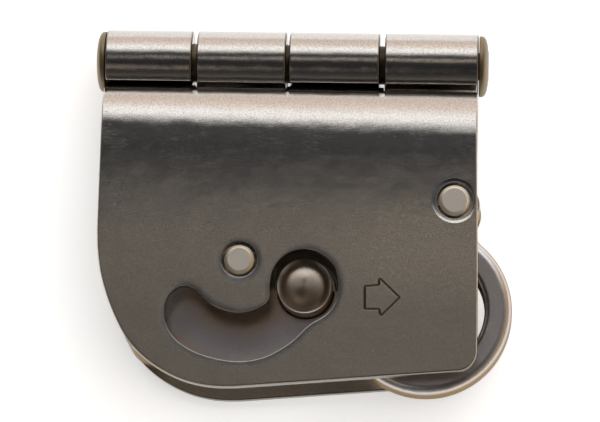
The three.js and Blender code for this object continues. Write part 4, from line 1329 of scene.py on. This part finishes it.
# ---------------------------------------------------------------- latch plate and knob
latch_pts = arc(P2, 6.2, 40, 172, 24)
latch_pts += catmull([at(P2, 6.2, 172), at(P2, 9.0, -172), at(P2, 14.0, -163), at(P2, 20.5, -160), at(P2, 22.4, -157), at(P2, 22.9, -150), at(P2, 23.6, -143), at(P2, LATCH_R, -136)], 5)[1:-1]
latch_pts += arc(P2, LATCH_R, -136, -40, 70)
latch_pts += [at(KNOB_C, CUP_R, a) for a in (-42, -36, -30, -24, -18, -12, -6)]
latch_pts += [(KNOB_C[0] + 7.9, KNOB_C[1] + 0.25), (-5.9, KNOB_C[1] + 0.25), (-7.6, -55.4)]
LEG2_C = at(P2, 7.9, -100)
latch = plate("latch_plate_ground", [
    Loop(subdivided(latch_pts, 0.6), 0.3, 0.3), Loop(circle(KNOB_C, KNOB_R + 0.25, 90), 0.2, 0.2, hole=True),
    Loop(circle(P2, P2_R + 0.15, 60), 0.2, 0.2, hole=True), Loop(circle(LEG2_C, 1.1, 28), 0.15, 0.15, hole=True)],
    LATCH_Z[1] - LATCH_Z[0], flat_map(LATCH_Z[1]), LATCH, nround=4)
fit(latch, "latch", "latch_steel", "latch_plate")

cap_z = KNOB_TOP - KNOB_CAP_R
rim_r = KNOB_R - KNOB_RIM
rim_z = cap_z + math.sqrt((KNOB_CAP_R - KNOB_RIM) ** 2 - rim_r ** 2)
edge_a = math.degrees(math.atan2(rim_z - cap_z, rim_r))
rows = turned_profile([(0, 15.5), (1.95, 15.5), (1.95, 8.9, 0.1), (3.1, 8.9, 0.1), (3.1, 13.0), (5.4, 13.0), (5.4, 8.5, 0.2), (KNOB_R, 8.5, 0.3), (KNOB_R, 11.0)])
for a in np.linspace(0, edge_a, 10):
    rows.append(((rim_r + KNOB_RIM * math.cos(rad(a)), rim_z + KNOB_RIM * math.sin(rad(a))), (math.cos(rad(a)), math.sin(rad(a)))))
for a in np.linspace(edge_a, 90, 30)[1:]:
    rows.append(((KNOB_CAP_R * math.cos(rad(a)) if a < 89.9 else 0.0, cap_z + KNOB_CAP_R * math.sin(rad(a))), (math.cos(rad(a)), math.sin(rad(a)))))
knob = turned("lock_knob_turned", None, KNOB_C, KNOB, seg=128, rows=rows, own_origin=True)
fit(knob, "knob", "knob_steel", "lock_knob")
o = turned("knob_screw_turned", [(0, 4.9), (3.0, 4.9, 0.35), (3.0, 5.8, 0.1), (1.8, 5.8), (1.8, 15.0, 0.2), (0, 15.0)], KNOB_C, WASHER, seg=56)
fit(o, "knob", "washer_steel", "knob_screw")


# ---------------------------------------------------------------- springs
def torsion(c, rc, z0, pitch, turns, leg_a, leg_b, tip_z):
    ra = math.hypot(leg_a[0] - c[0], leg_a[1] - c[1])
    rb = math.hypot(leg_b[0] - c[0], leg_b[1] - c[1])
    ta = math.atan2(leg_a[1] - c[1], leg_a[0] - c[0]) + math.acos(rc / ra)
    tb = math.atan2(leg_b[1] - c[1], leg_b[0] - c[0]) - math.acos(rc / rb)
    while tb < ta:
        tb += 2 * math.pi
    tb += 2 * math.pi * turns
    n = round((tb - ta) / (2 * math.pi) * 24)
    rise = pitch * (tb - ta) / (2 * math.pi)
    first = (c[0] + rc * math.cos(ta), c[1] + rc * math.sin(ta))
    last = (c[0] + rc * math.cos(tb), c[1] + rc * math.sin(tb))

    def mixed(p, q, k):
        return (p[0] + (q[0] - p[0]) * k, p[1] + (q[1] - p[1]) * k)

    pts = [(*mixed(leg_a, first, 0), z0), (*mixed(leg_a, first, 0.55), z0)]
    for i in range(n + 1):
        t = ta + (tb - ta) * i / n
        pts.append((c[0] + rc * math.cos(t), c[1] + rc * math.sin(t), z0 + rise * i / n))
    zt = z0 + rise
    pts += [(*mixed(last, leg_b, 0.6), zt), (*mixed(last, leg_b, 0.97), zt + 0.12), (*leg_b, zt + 1.1), (*leg_b, tip_z)]
    return pts, z0, zt


def blended(o, body, centre, z0, z1, *nodes):
    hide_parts(*nodes)
    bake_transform(o)


pts, za, zb = torsion(P1, 6.0, 4.8, 0.86, 1, (28.9, -33.6), LEG_C, 9.8)
blended(wire("cam_spring_wire", pts, 0.38, SPRING), "lever", P1, za + 0.05, zb - 0.05, "cam_spring")
pts, za, zb = torsion(P2, 6.7, 5.65, 1.2, 2, (-15.2, -40.6), LEG2_C, 10.9)
blended(wire("latch_spring_wire", pts, 0.5, SPRING), "latch", P2, za + 0.05, zb - 0.05, "latch_spring")
coil = [(KNOB_C[0] + 4.25 * math.cos(2 * math.pi * i / 24), KNOB_C[1] + 4.25 * math.sin(2 * math.pi * i / 24), 7.3 + 5.2 * i / 96) for i in range(97)]
o = wire("knob_spring_wire", coil, 0.45, SPRING, per=2)
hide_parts("knob_spring")
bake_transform(o)

# ---------------------------------------------------------------- corner spacer
dcs = math.hypot(SPACER_C[0] - P2[0], SPACER_C[1] - P2[1])
base_a = math.degrees(math.atan2(SPACER_C[1] - P2[1], SPACER_C[0] - P2[0]))
half_a = math.degrees(math.acos((dcs * dcs + SPACER_CLEAR_R ** 2 - SPACER_R ** 2) / (2 * dcs * SPACER_CLEAR_R)))
q0, q1 = at(P2, SPACER_CLEAR_R, base_a + half_a), at(P2, SPACER_CLEAR_R, base_a - half_a)
t0 = math.degrees(math.atan2(q0[1] - SPACER_C[1], q0[0] - SPACER_C[0]))
t1 = math.degrees(math.atan2(q1[1] - SPACER_C[1], q1[0] - SPACER_C[0]))
if t1 > t0:
    t1 -= 360
lens = arc(SPACER_C, SPACER_R, t0, t1, 44) + arc(P2, SPACER_CLEAR_R, base_a - half_a, base_a + half_a, 24)[1:-1]
spacer = plate("corner_spacer_milled", [Loop(evenly(lens, 0.45), 0.5, 0.5),
                                        Loop(circle(SCREW_C, SCREW_R + 0.15, 32), 0.1, 0.1, hole=True)],
               DEPTH - 2 * SHEET - 0.6, flat_map(DEPTH - SHEET - 0.3), FORGED, nround=4)
fit(spacer, "root", "forged_steel", "corner_spacer")

# ---------------------------------------------------------------- floor, light and camera
def floor():
    me = bpy.data.meshes.new("floor")
    s = 6.0
    me.from_pydata([(-s, -s, -0.00002), (s, -s, -0.00002), (s, s, -0.00002), (-s, s, -0.00002)], [], [(0, 1, 2, 3)])
    o = bpy.data.objects.new("floor", me)
    bpy.context.scene.collection.objects.link(o)
    m = Tree("floor_white")
    fine = m.noise(m.mapped((0.02, 0.02, 0.02)), 1.0, 2.0)
    m.finish(m.mix(m.span(fine, 0.3, 0.7), (0.80, 0.80, 0.80), (0.815, 0.812, 0.81)), 0.75, metallic=0.0)
    m.bsdf.inputs["Emission Color"].default_value = (1, 1, 1, 1)
    m.bsdf.inputs["Emission Strength"].default_value = FLOOR_GLOW
    me.materials.append(m.mat)


def soft_light(name, direction, distance, size, radiance, colour=(1, 1, 1), target=(0, 0, 0.012)):
    """rectangular soft light facing the object; radiance is what a mirror would show of it"""
    data = bpy.data.lights.new(name, "AREA")
    data.shape = "RECTANGLE"
    data.size, data.size_y = size
    data.energy = radiance * math.pi * size[0] * size[1]
    data.color = colour
    o = bpy.data.objects.new(name, data)
    d = Vector(direction).normalized()
    o.location = Vector(target) + d * distance
    o.rotation_euler = (-d).to_track_quat("-Z", "Y").to_euler()
    o.visible_camera = False
    o.visible_glossy = False
    bpy.context.scene.collection.objects.link(o)
    return o


WARM, COOL, PLAIN, BEIGE = (1, 0.93, 0.85), (0.90, 0.96, 1.06), (1, 0.985, 0.96), (1, 0.86, 0.76)
STRIPS = [  # angle from overhead towards the hinge side, brightness, tint
    (-90, 0.38, WARM), (-84, 0.34, WARM), (-76, 0.12, WARM), (-62, 0.12, WARM), (-50, 0.06, WARM), (-40, 0.035, PLAIN),
    (-28, 0.022, COOL), (-15, 0.03, COOL), (-5, 0.04, PLAIN), (5, 0.05, PLAIN), (13, 0.045, COOL), (18, 0.045, COOL),
    (24, 0.10, PLAIN), (27, 0.35, PLAIN), (32, 0.9, PLAIN), (38, 1.45, PLAIN), (47, 1.5, PLAIN), (52, 1.32, PLAIN),
    (60, 1.18, BEIGE), (66, 1.10, BEIGE), (75, 1.0, BEIGE), (110, 0.90, BEIGE),
]
CARDS = [  # direction, radius, softness in degrees, brightness added
    ((0.0, 0.122, 0.9925), 6.0, 2.6, (0.40, 0.35, 0.30)),
    ((0.02, -0.90, 0.30), 7.0, 3.0, (0.34, 0.30, 0.19)),
    ((0.40, 0.02, 0.92), 11.0, 8.0, (0.10, 0.10, 0.12)),
    ((-0.28, -0.48, 0.83), 9.0, 5.0, (0.60, 0.50, 0.39)),
]
SIDE_RIGHT, SIDE_LEFT = (0.42, 0.30, 0.17), (0.16, 0.115, 0.08)
FLOOR_GLOW = 0.44


def world():
    w = bpy.data.worlds.new("studio")
    w.use_nodes = True
    t = w.node_tree
    t.nodes.clear()
    out = t.nodes.new("ShaderNodeOutputWorld")
    tc = t.nodes.new("ShaderNodeTexCoord")
    sep = t.nodes.new("ShaderNodeSeparateXYZ")
    t.links.new(tc.outputs["Generated"], sep.inputs[0])

    def put(socket, value):
        if isinstance(value, bpy.types.NodeSocket):
            t.links.new(value, socket)
        else:
            socket.default_value = value

    def math2(op, a, b=0.0, c=0.0):
        n = t.nodes.new("ShaderNodeMath")
        n.operation = op
        for k, v in enumerate((a, b, c)):
            put(n.inputs[k], v)
        return n.outputs[0]

    def span(v, a, b, c, d, smooth=True):
        n = t.nodes.new("ShaderNodeMapRange")
        n.interpolation_type = "SMOOTHSTEP" if smooth else "LINEAR"
        for k, x in zip(("Value", "From Min", "From Max", "To Min", "To Max"), (v, a, b, c, d)):
            put(n.inputs[k], x)
        return n.outputs[0]

    def mixed(fac, a, b, mode="MIX"):
        n = t.nodes.new("ShaderNodeMix")
        n.data_type = "RGBA"
        n.blend_type = mode
        put(n.inputs[0], fac)
        for k, x in ((6, a), (7, b)):
            put(n.inputs[k], (*x, 1) if isinstance(x, tuple) else x)
        return n.outputs[2]

    def card(direction, radius, soft):
        """1 inside a round soft card around a direction, 0 outside"""
        n = t.nodes.new("ShaderNodeVectorMath")
        n.operation = "DOT_PRODUCT"
        t.links.new(tc.outputs["Generated"], n.inputs[0])
        n.inputs[1].default_value = Vector(direction).normalized()
        angle = math2("ARCCOSINE", math2("MINIMUM", n.outputs["Value"], 1.0))
        return span(angle, rad(radius - soft), rad(radius + soft), 1.0, 0.0)

    dx, dy, dz = sep.outputs
    # strips across the hinge direction: bright behind the hinge, dark overhead, dim in front
    turn = math2("MULTIPLY", math2("ARCTAN2", dy, dz), 180 / math.pi)
    ramp = t.nodes.new("ShaderNodeValToRGB")
    e = ramp.color_ramp.elements
    while len(e) < len(STRIPS):
        e.new(0.5)
    for k, (deg, val, tint) in enumerate(STRIPS):
        e[k].position = (deg + 90) / 200
        e[k].color = (val * tint[0], val * tint[1], val * tint[2], 1)
    t.links.new(span(turn, -90, 110, 0.0, 1.0, False), ramp.inputs[0])
    light = ramp.outputs[0]
    # a broad soft spot overhead, weaker to the left
    for direction, radius, soft, colour in CARDS:
        light = mixed(card(direction, radius, soft), light, colour, "ADD")
    # warm room to both sides
    light = mixed(span(dx, 0.45, 0.85, 0.0, 1.0), light, SIDE_RIGHT)
    light = mixed(span(dx, -0.45, -0.85, 0.0, 1.0), light, SIDE_LEFT)
    bg = t.nodes.new("ShaderNodeBackground")
    t.links.new(light, bg.inputs[0])
    seen = t.nodes.new("ShaderNodeBackground")
    seen.inputs[0].default_value = (0.93, 0.93, 0.93, 1)
    path = t.nodes.new("ShaderNodeLightPath")
    mixer = t.nodes.new("ShaderNodeMixShader")
    t.links.new(path.outputs["Is Camera Ray"], mixer.inputs[0])
    t.links.new(bg.outputs[0], mixer.inputs[1])
    t.links.new(seen.outputs[0], mixer.inputs[2])
    t.links.new(mixer.outputs[0], out.inputs[0])
    bpy.context.scene.world = w


floor()
world()
soft_light("soft_key", (0.30, 0.16, 0.95), 1.5, (2.4, 2.0), 1.7, (1.0, 0.995, 0.99))

TAU, PSI, RHO, DIST = 11.4, 3.0, 1.44, 900.0
t_, p_, r_ = rad(TAU), rad(PSI), rad(RHO)
n_ = Vector((math.sin(p_), -math.sin(t_) * math.cos(p_), math.cos(t_) * math.cos(p_)))
u0 = (Vector((0, 1, 0)) - n_ * n_.y).normalized()
r0 = u0.cross(n_)
right = r0 * math.cos(r_) + u0 * math.sin(r_)
up = -r0 * math.sin(r_) + u0 * math.cos(r_)
aim = Vector(to_row((0.0, -39.137, 24.5)))
cam = bpy.data.cameras.new("camera")
cam.lens, cam.sensor_width, cam.clip_start, cam.clip_end = 225.0, 36.0, 0.05, 50.0
cam_o = bpy.data.objects.new("camera", cam)
bpy.context.scene.collection.objects.link(cam_o)
m4 = Matrix((right, up, n_)).transposed().to_4x4()
m4.translation = aim + n_ * (DIST / 1000)
cam_o.matrix_world = m4
bpy.context.scene.camera = cam_o

scene = bpy.context.scene
scene.view_settings.view_transform = "Standard"
scene.view_settings.look = "None"
